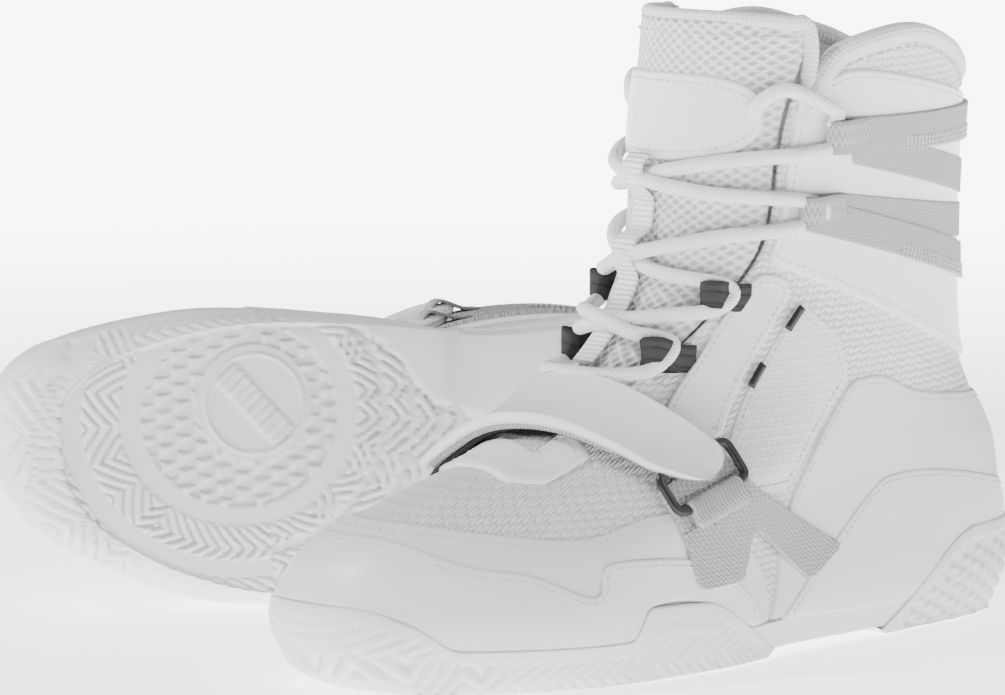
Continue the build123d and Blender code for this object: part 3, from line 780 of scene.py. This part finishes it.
def stitch_rows(side, name, lines, look="white_cord", pitch=2.7, radius=0.3, body="boot", long=0.72):
    """Small thread stitches laid along lines of points with normals, in boot millimetres."""
    slots = []
    for points, normals in lines:
        step = resample(np.concatenate([points, normals], -1)[:, :3], pitch)
        if len(step) < 2:
            continue
        near = np.argmin(np.linalg.norm(points[None] - step[:, None], axis=-1), axis=1)
        ahead = unit(np.gradient(step, axis=0))
        slots.append((step, ahead, unit(normals[near])))
    if not slots:
        return None
    middle, ahead, up = (np.concatenate([s[k] for s in slots]) for k in range(3))
    wide = np.cross(ahead, up)
    stations = np.array([-1, -0.8, 0, 0.8, 1]) * pitch * long / 2
    sizes = np.array([0.35, 0.9, 1.0, 0.9, 0.35]) * radius
    sinks = np.array([-1.3, -0.2, 0.25, -0.2, -1.3]) * radius
    turn = np.arange(6) * PI / 3
    verts = []
    for along_, size, sink in zip(stations, sizes, sinks):
        for t in turn:
            verts.append(middle + ahead * along_ + wide * size * math.cos(t)
                         + up * (size * math.sin(t) + sink))
    verts = np.stack(verts, 1)
    faces = []
    pattern = [(j, (j + 1) % 6, 6 + (j + 1) % 6, 6 + j) for j in range(6)]
    one = [tuple(k * 6 + v for v in quad) for k in range(4) for quad in pattern]
    one += [tuple(range(5, -1, -1)), tuple(24 + j for j in range(6))]
    for n in range(len(middle)):
        faces += [tuple(n * 30 + v for v in face) for face in one]
    return build(side, name, verts.reshape(-1, 3), faces, look, body=body)


def seam_line(side, line, good, keep=None):
    """The runs of a seam that were kept, as points and normals on the boot."""
    slack = SLACK[side]
    mask = good.copy()
    if keep is not None:
        mask &= keep(along(line[:, 0], line[:, 1]), line[:, 1])
    runs, start = [], None
    for i, flag in enumerate(list(mask) + [False]):
        if flag and start is None:
            start = i
        if not flag and start is not None:
            if i - start > 4:
                part = line[start:i]
                runs.append((surface(part[:, 0], part[:, 1], part[:, 2], slack),
                             normal_at(part[:, 0], part[:, 1], slack)))
            start = None
    return runs


for side in ("left", "right"):
    slack = SLACK[side]
    # The knitted vamp and ankle are closed shells under every panel.
    turn = np.linspace(0, 2 * PI, 181)[None, :]
    z = np.linspace(12, 79, 60)[:, None]
    t, h = np.broadcast_arrays(turn, z)
    outer = surface(t, h, np.zeros(t.shape), slack)
    inner = surface(t, h, np.full(t.shape, -2.5), slack)
    arc = np.interp(t, *unroll(40, slack))
    verts, faces = shell(outer[:, ::-1], inner[:, ::-1])
    uv = np.stack([arc[:, ::-1], h], -1).reshape(-1, 2)
    build(side, "vamp", verts, faces, "knit_mesh", nodes=("vamp_mesh",), uv=np.concatenate([uv, uv]))
    share = np.linspace(-1, 1, 151)[None, :]
    level = np.linspace(0, 1, 70)[:, None]
    guess = share * (turn_at(smooth(THROAT, 190.0) * sag(190, slack), 190.0, slack))
    top = smooth(COLLAR_EDGE, along(guess, np.full(guess.shape, 190.0))) - 5.5
    h = 77.5 + level * (top - 77.5)
    t = share * turn_at(smooth(THROAT, h) * sag(h, slack), h, slack)
    outer = surface(t, h, np.zeros(t.shape), slack)
    inner = surface(t, h, np.full(t.shape, -2.5), slack)
    arc = np.interp(t, *unroll(140, slack))
    verts, faces = shell(outer[:, ::-1], inner[:, ::-1])
    uv = np.stack([arc[:, ::-1], h], -1).reshape(-1, 2)
    build(side, "ankle", verts, faces, "knit_mesh", nodes=("ankle_mesh",), uv=np.concatenate([uv, uv]))

    seams = []

    def sew(result, keep=None, into=seams):
        into.extend(seam_line(side, result[1], result[2], keep))

    cap_low = edge_line(RIM[:-2] + ((153, 12.8),))
    cap = wrapped(edge_line(CAP_EDGE), cap_low, False)
    sew(panel(side, "toe_cap_panel", cap, 30, 0.3, 1.5, "white_leather", ("toe_cap",)),
        lambda a, z: z > smooth(CAP_EDGE, a) - 4.5)
    band_low = edge_line([(a, z - 2.0) for a, z in CAP_EDGE])
    sew(panel(side, "toe_band_panel", wrapped(edge_line(BAND_EDGE), band_low, False), 45, 0.1, 0.9,
              "blush_suede", ("toe_band",), crown=0.4), lambda a, z: z > smooth(BAND_EDGE, a) - 4.5)
    counter_low = edge_line(((138, 12.2), (66, 12.2), (40, 29), (-10, 31)))
    sew(panel(side, "heel_counter_panel", wrapped(edge_line(COUNTER_EDGE), counter_low, True), 30, 0.3, 1.5,
              "white_leather", ("heel_counter",), crown=0.8), lambda a, z: z > smooth(COUNTER_EDGE, a) - 4.5)
    panel_low = edge_line(((142, 12.8),) + tuple((a, z - 2.5) for a, z in COUNTER_EDGE[1:]))
    sew(panel(side, "heel_suede_panel", wrapped(edge_line(PANEL_EDGE), panel_low, True), 50, 0.1, 1.0,
              "blush_suede", ("heel_panel",), crown=1.0), lambda a, z: z > smooth(PANEL_EDGE, a) - 4.5)
    cuff_high = edge_line(CUFF_HIGH)
    cuff_low = edge_line(CUFF_LOW)
    front_z = np.linspace(177, 133, 40)
    front_turn = turn_at(smooth(THROAT, front_z) * sag(front_z, slack) + 1.0, front_z, slack)
    cuff_high = np.concatenate([np.stack([front_turn, front_z], -1)[::-1],
                                cuff_high[cuff_high[:, 0] < front_turn[0]]])
    cuff_low = cuff_low[cuff_low[:, 0] < front_turn[-1]]
    sew(panel(side, "cuff_panel", wrapped(cuff_high, cuff_low, True), 150, 0.3, 1.4, "white_leather",
              ("ankle_cuff",), crown=0.4))
    for way, tag in ((1, "outer"), (-1, "inner")):
        sew(panel(side, "quarter_" + tag, one_side(QUARTER, way), 85, 0.1, 0.6, "ripstop",
                  ("quarter_panels",) if way > 0 else (), crown=0.2))
        sew(panel(side, "eyestay_" + tag, one_side(EYESTAY, way), 100, 0.5, 1.2, "white_leather",
                  ("eyestays",) if way > 0 else ()))
    stitch_rows(side, "panel_stitches", seams)

# ---- tongue, collar and their padding -----------------------------------------------------
# The padded tongue fills the front slot and ends in a bound roll; a second roll runs round
# the collar and down both front edges of the cuff.
def strip(side, name, xs, z, lift, under, look, nodes=(), body="boot"):
    """Closed sheet on the front of the foot over a grid of x and z."""
    slack = SLACK[side]
    turn = turn_at(xs, z, slack)
    outer, inner = surface(turn, z, lift, slack), surface(turn, z, under, slack)
    verts, faces = shell(outer, inner)
    uv = np.stack([xs, z], -1).reshape(-1, 2)
    return build(side, name, verts, faces, look, nodes=nodes, body=body, uv=np.concatenate([uv, uv]))


def on_front(side, points):
    """Boot points and normals for rows of (x, z, lift) on the front of the foot."""
    slack = SLACK[side]
    x, z, lift = np.asarray(points, float).T
    turn = turn_at(x * sag(z, slack), z, slack)
    return surface(turn, z, lift, slack), normal_at(turn, z, slack)


for side in ("left", "right"):
    slack = SLACK[side]
    z = np.linspace(84, 211, 90)[:, None]
    share = np.linspace(-1, 1, 61)[None, :]
    half = smooth(THROAT, z) * sag(z, slack) - 0.7
    xs, z = share * half, np.broadcast_to(z, (90, 61))
    puff = 1.3 * (1 - share ** 2) * ease((z - 120) / 40) - 1.6 * np.abs(share) ** 8
    tongue = strip(side, "tongue_pad", xs, z, 0.3 + puff, np.full(z.shape, -4.5), "open_mesh", ("tongue",))
    x = np.linspace(-1, 1, 40)
    arch = 210.5 + 1.6 * (1 - x ** 2)
    rim_x = np.concatenate([[-34.5, -34.8], x * 34, [34.8, 34.5]])
    rim_z = np.concatenate([[186, 200], arch - 1.5 * np.abs(x) ** 6, [200, 186]])
    rim_path, rim_up = on_front(side, spline(np.stack([rim_x, rim_z, np.full(44, -1.6)], -1), 3))
    verts, faces, uv = tube(rim_path, rim_up, 2.7, 2.9, sides=14, power=0.9)
    build(side, "tongue_binding", verts, faces, "lining", uv=uv * (17, 1))
    hem = np.stack([x * 32, arch - 5.5, np.full(40, 1.5)], -1)
    lines = [on_front(side, hem)]

    edge = np.linspace(1, -1, 121)
    guess = edge * turn_at(smooth(THROAT, 190.0) * sag(190, slack), 190.0, slack)
    top = smooth(COLLAR_EDGE, along(guess, np.full(guess.shape, 190.0))) - 3.2
    around = edge * turn_at((smooth(THROAT, 190.0) + 2.0) * sag(190, slack), np.full(edge.shape, 190.0),
                            slack)
    fall = np.array([138.0, 152, 166, 178])
    fall_turn = turn_at((smooth(THROAT, fall) + 1.6) * sag(fall, slack), fall, slack)
    route = np.concatenate([np.stack([fall_turn, fall, [-1.6, -1.2, -1.0, -1.6]], -1),
                            np.stack([around, top, np.full(121, -2.4)], -1)[3:-3:3],
                            np.stack([-fall_turn, fall, [-1.6, -1.2, -1.0, -1.6]], -1)[::-1]])
    route = spline(route, 4)
    thick = 2.0 + 2.2 * ease((route[:, 1] - 168) / 16)
    path = surface(route[:, 0], route[:, 1], route[:, 2], slack)
    up = normal_at(route[:, 0], route[:, 1], slack)
    verts, faces, uv = tube(path, up, thick * 0.86, thick, sides=16, power=0.85)
    roll = build(side, "collar_roll", verts, faces, "lining", nodes=("collar_binding",), uv=uv * (22, 1))
    keep = route[:, 1] > 183
    below = surface(route[keep, 0], route[keep, 1] - 4.6, np.full(keep.sum(), 0.4), slack)
    lines.append((below, normal_at(route[keep, 0], route[keep, 1], slack)))
    stitch_rows(side, "rim_stitches", lines, pitch=4.6, radius=0.5, long=0.66)

    level = np.linspace(0, 1, 24)[:, None]
    t = edge[::-1][None, :] * turn_at((smooth(THROAT, 175.0) + 3) * sag(175, slack), 175.0, slack)
    high = smooth(COLLAR_EDGE, along(t, np.full(t.shape, 190.0))) - 4.5
    h = 151 + level * (high - 151)
    t, h = np.broadcast_arrays(t, h)
    bulge = 1.4 * np.sin(PI * level) * np.ones(t.shape)
    verts, faces = shell(surface(t, h, -2.8 + 0 * t, slack)[:, ::-1],
                         surface(t, h, -5.2 - bulge, slack)[:, ::-1])
    uv = np.stack([t * 45, h], -1)[:, ::-1].reshape(-1, 2)
    build(side, "collar_pad", verts, faces, "lining", nodes=("collar_padding",),
                    uv=np.concatenate([uv, uv]))

    # Label and keeper on the tongue: the keeper bridges the lace at its two upper crossings.
    rows = np.linspace(-1, 1, 40)
    outline = []
    for angle in np.linspace(0, 2 * PI, 90, endpoint=False):
        c, s = math.cos(angle), math.sin(angle)
        outline.append((28 * math.copysign(abs(c) ** 0.55, c), 179 + 14.5 * math.copysign(abs(s) ** 0.7, s)))
    outline = np.array(outline)
    front = np.stack([turn_at(outline[:, 0] * sag(outline[:, 1], slack), outline[:, 1], slack),
                      outline[:, 1]], -1)
    label_seams = []
    result = panel(side, "tongue_label", front, 179, 1.4, 1.3, "white_leather", ("tongue_patch",), seam=3.0,
                   crown=0.3)
    label_seams.extend(seam_line(side, result[1], result[2]))
    stitch_rows(side, "label_stitches", label_seams, pitch=2.4)
    z = np.linspace(98, 166, 90)
    bridge = 6.6 * (np.exp(-((z - 160) / 6.5) ** 4) + np.exp(-((z - 133) / 6.5) ** 4))
    path, up = on_front(side, np.stack([0 * z, z, 2.2 + bridge], -1))
    verts, faces, uv = tube(path, up, 4.6, 0.6, sides=12, power=0.35)
    build(side, "keeper_tape", verts, faces, "white_webbing", nodes=("lace_keeper",), uv=uv * (9, 1))

# ---- lace, loops and ankle webbing --------------------------------------------------------
# One lace zigzags down both sides; black tape loops hold it low down and grey webbing that
# wraps the ankle holds it higher up.
LACE_LOOPS = ((20, 100), (24, 119), (34, 147), (37, 172))
BANDS = (("upper_a", ((109, 172), (-10, 170)), 2.3), ("upper_b", ((102, 168), (-10, 141)), 1.7),
         ("lower_a", ((121, 147), (-10, 111)), 2.3), ("lower_b", ((108, 147), (-10, 130)), 1.7))


def strand(way, swing):
    """Stops of one strand from the top down, as (x, z, lift)."""
    low, under, over, top = LACE_LOOPS
    stops = [(way * 27, 176, 1.0), (way * 26.5, 183, 4.0), (way * 31, 188, 6.0), (way * 36.5, 181, 6.4)]
    for number, (x, z) in enumerate((top, over, under, low)):
        side_ = way * (-1) ** number
        stops += [(side_ * (x - 0.5), z + 4, 5.6), (side_ * (x - 0.5), z - 4, 5.6)]
        if number < 3:
            following = (over, under, low)[number]
            middle = (z + following[1]) / 2
            start, end = side_ * (x - 0.5), -side_ * (following[0] - 0.5)
            for u in (0.22, 0.4, 0.6, 0.78):
                lift = 4.4 + swing * (4.6 if number == 2 else 3.4) * math.exp(-((u - 0.5) / 0.2) ** 2)
                at = start + (end - start) * u
                drop = (z - 5.5) + (following[1] + 5.5 - z + 5.5) * ease(u)
                stops.append((at, drop, lift))
    return stops


def loop_band(side, name, way, x, z, length, width, look, nodes=(), number_low=False):
    """Tape folded round the lace: out over it and back beneath, both tails lying on the boot."""
    slack = SLACK[side]
    start = float(turn_at(way * x * sag(z, slack), np.array(float(z)), slack))
    rate = np.linalg.norm(bare(np.array(start + 0.01), np.array(float(z)), slack)
                          - bare(np.array(start), np.array(float(z)), slack)) / 0.01
    sink = 2.6 if number_low else 0.0
    side_view = ((length, 3.6 - sink), (length * 0.62, 4.6 - sink * 0.6), (3.4, 7.6), (0.6, 9.3), (-2.4, 8.2),
                 (-3.6, 5.4), (-2.0, 2.9), (1.4, 2.2), (5, 2.0), (length, 2.6 - sink))
    profile = spline(np.array(side_view), 6)
    turns = start - way * profile[:, 0] / rate
    path = surface(turns, np.full(turns.shape, float(z)), profile[:, 1], slack)
    ahead = unit(np.gradient(path, axis=0))
    up = np.cross(np.array([0, 0, 1.0]), ahead)
    verts, faces, uv = tube(path, up, width / 2, 0.55, sides=10, power=0.3)
    piece = build(side, name, verts, faces, look, nodes=nodes, uv=uv[:, ::-1] * (1, width * 2))
    bar_turn = start - way * 7.5 / rate
    tall = np.linspace(-width * 0.42, width * 0.42, 9) + z
    bar = surface(np.full(9, bar_turn), tall, np.full(9, 4.6), slack)
    return piece, (bar, normal_at(np.full(9, bar_turn), tall, slack))


for side in ("left", "right"):
    slack = SLACK[side]
    foot_bar = [(-15, 93.5, 5.4), (-6, 92.5, 6.4), (6, 92.5, 6.4), (15, 93.5, 5.4)]
    stops = strand(1, 0.0) + foot_bar + strand(-1, 1.0)[::-1]
    path, up = on_front(side, spline(stops, 8))
    path = resample(path, 1.0)
    route = on_front(side, spline(stops, 8))[0]
    near = np.argmin(np.linalg.norm(route[None] - path[:, None], axis=-1), axis=1)
    verts, faces, uv = tube(path, up[near], 2.5, 2.5, sides=14)
    build(side, "lace_cord", verts, faces, "white_cord", nodes=("lace",), uv=uv)
    bars = []
    for number, (x, z) in enumerate(LACE_LOOPS):
        for way, tag in ((1, "outer"), (-1, "inner")):
            look = "black_webbing" if number < 2 else "grey_webbing"
            name = ("tape_loop_" if number < 2 else "webbing_loop_") + str(number) + "_" + tag
            nodes = ("lace_loops",) if number == 0 and way > 0 else ()
            low_down = number < 2
            _, bar = loop_band(side, name, way, x - (2 if low_down else 0), z, 13, 9.5 if low_down else 11.5,
                               look, nodes, number_low=low_down)
            if number > 1:
                bars.append(bar)
    for number, (bar, up) in enumerate(bars):
        verts, faces, uv = tube(bar, up, 0.5, 0.4, sides=8)
        build(side, "bartack_" + str(number), verts, faces, "black_webbing", uv=uv)
    for name, ends, base in BANDS:
        (a0, z0), (a1, z1) = ends
        high, low = ((a0, z0 + 6), (a1, z1 + 6)), ((a0, z0 - 6), (a1, z1 - 6))
        outline = wrapped(edge_line(high, False), edge_line(low, False), True)
        piece, line, good = panel(side, "webbing_" + name, outline, 160, base, 1.2, "grey_webbing",
                                  ("ankle_webbing",) if name == "upper_a" else (), edge=0.5, spacing=3.2,
                                  stitch=False)
        if name.endswith("a"):
            z_line = np.linspace(0, 1, 30)
            a_line = 78 - 58 * z_line
            mid = np.interp(a_line, [a1, a0], [z1, z0]) - 4.0
            t, _ = turned(a_line, mid)
            for way in (1, -1):
                points = surface(way * t, mid, np.full(30, base + 1.35), slack)
                normals = normal_at(way * t, mid, slack)
                slant = np.cross(unit(np.gradient(points, axis=0)), normals)
                picks = []
                for k in range(30):
                    reach = slant[k] * 1.6
                    picks.append((np.stack([points[k] - reach, points[k], points[k] + reach]),
                                  normals[[k, k, k]]))
                tag = "_outer" if way > 0 else "_inner"
                stitch_rows(side, "webbing_ticks_" + name + tag, picks, pitch=2.4, radius=0.35)

# ---- the strap over the instep ------------------------------------------------------------
# An elastic with two legs rises from the sole's outer side to a ring. The flap comes from the
# inner side, crosses the foot over a layer of felt and ends over the ring.
STRAP_AXIS = ((230, 44), (166, 64))
STRAP_FRONT = ((-120, 0.1), (-60, 0.14), (0, 0.25), (40, 0.42), (80, 0.62))
STRAP_REAR = ((-120, 0.45), (-60, 0.53), (0, 0.66), (40, 0.84), (80, 1.05))
THROAT_PIECE = ((-24, 207), (-24, 228), (-16, 238), (16, 238), (24, 228), (24, 207), (13, 207), (13, 222),
                (-13, 222), (-13, 207))


def over_foot(share, turn, lift, slack):
    """Point outside the foot at a share of the strap's axis and a turn in degrees from straight up."""
    share, turn, lift = np.broadcast_arrays(np.asarray(share, float), np.asarray(turn, float),
                                            np.asarray(lift, float))
    (a0, z0), (a1, z1) = STRAP_AXIS
    a, z = a0 + (a1 - a0) * share, z0 + (z1 - z0) * share
    slope = math.atan2(z1 - z0, a0 - a1)
    side_way, up_way = np.sin(np.radians(turn)), np.cos(np.radians(turn))
    near, far = np.zeros(share.shape), np.full(share.shape, 90.0)
    for _ in range(24):
        reach = (near + far) / 2
        here_a, here_z = a + reach * up_way * math.sin(slope), z + reach * up_way * math.cos(slope)
        heel, toe = smooth(HEEL_CURVE, here_z), smooth(INSTEP_CURVE, here_z)
        part = (here_a - heel) / (toe - heel)
        held = (part > 0) & (part < 1)
        part = np.clip(part, 0, 1)
        wide = np.sqrt(1 - (1 - 2 * part) ** 2) ** smooth(BLUNTNESS, here_z) * half_width(part, here_z)
        bow = smooth(SOLE_BOW, here_a) * np.clip(2 - here_z / 60, 0, 1)
        wall = np.abs(np.where(turn > 0, 1, -1) * wide * sag(here_z, slack) + bow)
        inside = held & (np.abs(reach * side_way) < wall)
        near, far = np.where(inside, reach, near), np.where(inside, far, reach)
    reach = near + lift
    return np.stack([reach * side_way, LENGTH / 2 - a - reach * up_way * math.sin(slope),
                     z + reach * up_way * math.cos(slope)], -1)


def strap(side, name, first, last, lift, thick, look, nodes=(), body="boot", inset_=0.0, lip=0.0,
          end_lift=0.0):
    """Band over the foot between two turns, with a rolled lip at its front and rear edges."""
    slack = SLACK[side]
    turns = np.linspace(first, last, 70)[:, None]
    across = np.linspace(0, 1, 31)[None, :]
    rounded = np.clip((last - turns) / 17, 0, 1)
    pull = inset_ + 0.24 * (1 - np.sqrt(1 - (1 - rounded) ** 2))
    front, rear = smooth(STRAP_FRONT, turns) + pull, smooth(STRAP_REAR, turns) - pull
    share = front + (rear - front) * across
    rim = np.minimum(across, 1 - across)
    rise = (thick * np.sqrt(1 - (1 - np.clip(rim / 0.04, 0, 1)) ** 2)
            + lip * np.exp(-((rim - 0.04) / 0.03) ** 2))
    rise = (rise + end_lift * ease((turns - last + 16) / 9)
            + 1.6 * np.cos(PI * np.clip(across, 0, 0.5)) ** 2 * (thick > 1))
    outer = over_foot(share, turns + 0 * share, lift + rise, slack)
    inner = over_foot(share, turns + 0 * share, lift + 0 * rise, slack)
    verts, faces = shell(outer, inner)
    uv = np.stack(np.broadcast_arrays(across * 34, turns * 0.62), -1).reshape(-1, 2)
    return build(side, name, verts, faces, look, nodes=nodes, body=body, uv=np.concatenate([uv, uv]))


for side in ("left", "right"):
    slack = SLACK[side]
    strap(side, "strap_under", -92, 66, 2.4, 1.2, "black_webbing", ("strap_base",), inset_=0.04)
    strap(side, "flap_felt", -60, 71, 4.3, 1.9, "grey_webbing", body="flap", inset_=0.005)
    strap(side, "flap_leather", -62, 85, 6.4, 1.7, "white_leather", ("strap_flap",), body="flap", lip=0.5,
          end_lift=2.4)
    corner = []
    ring_front, ring_rear = float(smooth(STRAP_FRONT, 80)) - 0.03, float(smooth(STRAP_REAR, 80)) + 0.03
    for share_, turn_ in ((ring_front, 76), (ring_rear, 76), (ring_rear, 92)):
        corner.append(over_foot(share_, turn_, 6.3, slack))
    corner.append(corner[0] + corner[2] - corner[1])
    corner = np.array(corner)
    soft = []
    for before, here, after in zip(np.roll(corner, 1, 0), corner, np.roll(corner, -1, 0)):
        for u in np.linspace(0, 1, 7):
            one = here + (before - here) / np.linalg.norm(before - here) * 3.5
            two = here + (after - here) / np.linalg.norm(after - here) * 3.5
            soft.append(one * (1 - u) ** 2 + 2 * here * u * (1 - u) + two * u * u)
    ring = resample(np.array(soft), 0.8, closed=True)
    face_up = np.cross(corner[1] - corner[0], corner[2] - corner[1])
    verts, faces, uv = tube(ring, np.broadcast_to(unit(face_up), ring.shape), 1.7, 1.3, sides=12, closed=True)
    build(side, "ring_bar", verts, faces, "black_plastic", nodes=("strap_ring",), uv=uv)
    bar_ends = corner[3] * 0.86 + corner[2] * 0.14, corner[2] * 0.86 + corner[3] * 0.14
    fold = np.linspace(bar_ends[0], bar_ends[1], 30)
    drop = unit(corner[2] - corner[1]) * 2.6
    verts, faces, uv = tube(fold + drop, np.broadcast_to(unit(face_up), fold.shape), 5.2, 2.3, sides=16,
                            power=0.7)
    build(side, "elastic_fold", verts, faces, "grey_elastic", uv=uv * (14, 1))
    elastic = one_side(ELASTIC, 1, rounds=2)
    piece, line, good = panel(side, "elastic_web", elastic, 48, 1.9, 1.2, "grey_elastic", ("strap_elastic",),
                              edge=0.5, stitch=False)
    box_lines = []
    for ends in (((193, 56), (160, 64)), ((190, 47), (160, 55)), ((186, 55), (176, 49)),
                 ((176, 58), (186, 49)), ((174, 58), (166, 54)), ((165, 61), (175, 53))):
        points = resample(np.array(ends, float), 1.0)
        t, _ = turned(points[:, 0], points[:, 1])
        box_lines.append((surface(t, points[:, 1], np.full(len(t), 3.25), slack),
                          normal_at(t, points[:, 1], slack)))
    stitch_rows(side, "elastic_stitches", box_lines, look="grey_webbing", pitch=2.6)
    piece_line = np.array(THROAT_PIECE, float)
    points = resample(piece_line, 1.5, closed=True)
    heights = []
    for x, a in points:
        z = np.linspace(60, 100, 161)
        front_a = along(turn_at(np.full(z.shape, x), z, slack), z)
        heights.append(z[np.argmin(np.abs(front_a - a))])
    z = np.array(heights, float)
    outline = np.stack([turn_at(points[:, 0], z, slack), z], -1)
    result = panel(side, "throat_panel", outline, 75, 0.3, 1.3, "white_leather", ("throat_piece",),
                   spacing=2.0, seam=2.2)
    throat_seams = seam_line(side, result[1], result[2])
    if throat_seams:
        stitch_rows(side, "throat_stitches", throat_seams)
    for number, ends in enumerate((((127, 108), (121, 115)), ((144, 90), (138, 97)))):
        for way, tag in ((1, "outer"), (-1, "inner")):
            points = resample(np.array(ends, float), 1.0)
            t, _ = turned(points[:, 0], points[:, 1])
            path = surface(way * t, points[:, 1], np.full(len(t), 2.6), slack)
            verts, faces, uv = tube(path, normal_at(way * t, points[:, 1], slack), 1.4, 0.7, sides=8,
                                    power=0.4)
            build(side, "stay_bar_" + str(number) + "_" + tag, verts, faces, "black_plastic", uv=uv)

# ---- floor, light and camera --------------------------------------------------------------
# A pale table that glows more the further it is from the boots, a raking key from the left,
# two weaker lights from the right and above, and a faint sky.
bpy.ops.mesh.primitive_plane_add(size=30, location=(0, 0, 0))
floor = bpy.context.object
floor.name = "floor"
pale = bpy.data.materials.new("floor")
pale.use_nodes = True
tree = pale.node_tree
shader = tree.nodes["Principled BSDF"]
shader.inputs["Base Color"].default_value = (0.9, 0.9, 0.9, 1)
shader.inputs["Roughness"].default_value = 0.95
shader.inputs["Specular IOR Level"].default_value = 0.1
where = tree.nodes.new("ShaderNodeTexCoord")
length = tree.nodes.new("ShaderNodeVectorMath")
length.operation = "LENGTH"
tree.links.new(where.outputs["Object"], length.inputs[0])
GLOW_GAIN, GLOW_START, GLOW_NEAR, GLOW_FAR = 9.0, -2.0, 2.4, 8.0
rising = calc(tree, "MULTIPLY_ADD", length.outputs["Value"], GLOW_GAIN, GLOW_START)
glow = calc(tree, "MINIMUM", calc(tree, "MAXIMUM", rising, GLOW_NEAR), GLOW_FAR)
shader.inputs["Emission Color"].default_value = (1, 1, 1, 1)
tree.links.new(glow, shader.inputs["Emission Strength"])
floor.data.materials.append(pale)


def softbox(name, azimuth, elevation, distance, size, power):
    light = bpy.data.lights.new(name, "AREA")
    light.shape = "RECTANGLE"
    light.size, light.size_y = size
    light.energy = power
    lamp = bpy.data.objects.new(name, light)
    bpy.context.scene.collection.objects.link(lamp)
    az, el = math.radians(azimuth), math.radians(elevation)
    aim = Vector((0, 0, 0.09))
    heading = Vector((math.sin(az) * math.cos(el), -math.cos(az) * math.cos(el), math.sin(el)))
    lamp.location = aim + distance * heading
    lamp.rotation_euler = (aim - lamp.location).to_track_quat("-Z", "Y").to_euler()


softbox("key_left", -28, 46, 1.9, (0.3, 0.3), 40)
softbox("right_side", 112, 34, 1.8, (0.5, 0.5), 5)
softbox("above", 150, 78, 1.6, (0.8, 0.8), 3)
world = bpy.data.worlds.new("studio")
world.use_nodes = True
world.node_tree.nodes["Background"].inputs[0].default_value = (1, 1, 1, 1)
world.node_tree.nodes["Background"].inputs[1].default_value = 0.05
bpy.context.scene.world = world

camera = bpy.data.cameras.new("camera")
camera.lens = 345.2
camera.clip_end = 40
eye = bpy.data.objects.new("camera", camera)
bpy.context.scene.collection.objects.link(eye)
eye.location = (2.3982, -2.2595, 0.5270)
eye.rotation_euler = (Vector((1.24643, -1.16942, 0.31482)) - eye.location).to_track_quat("-Z", "Y").to_euler()
bpy.context.scene.camera = eye
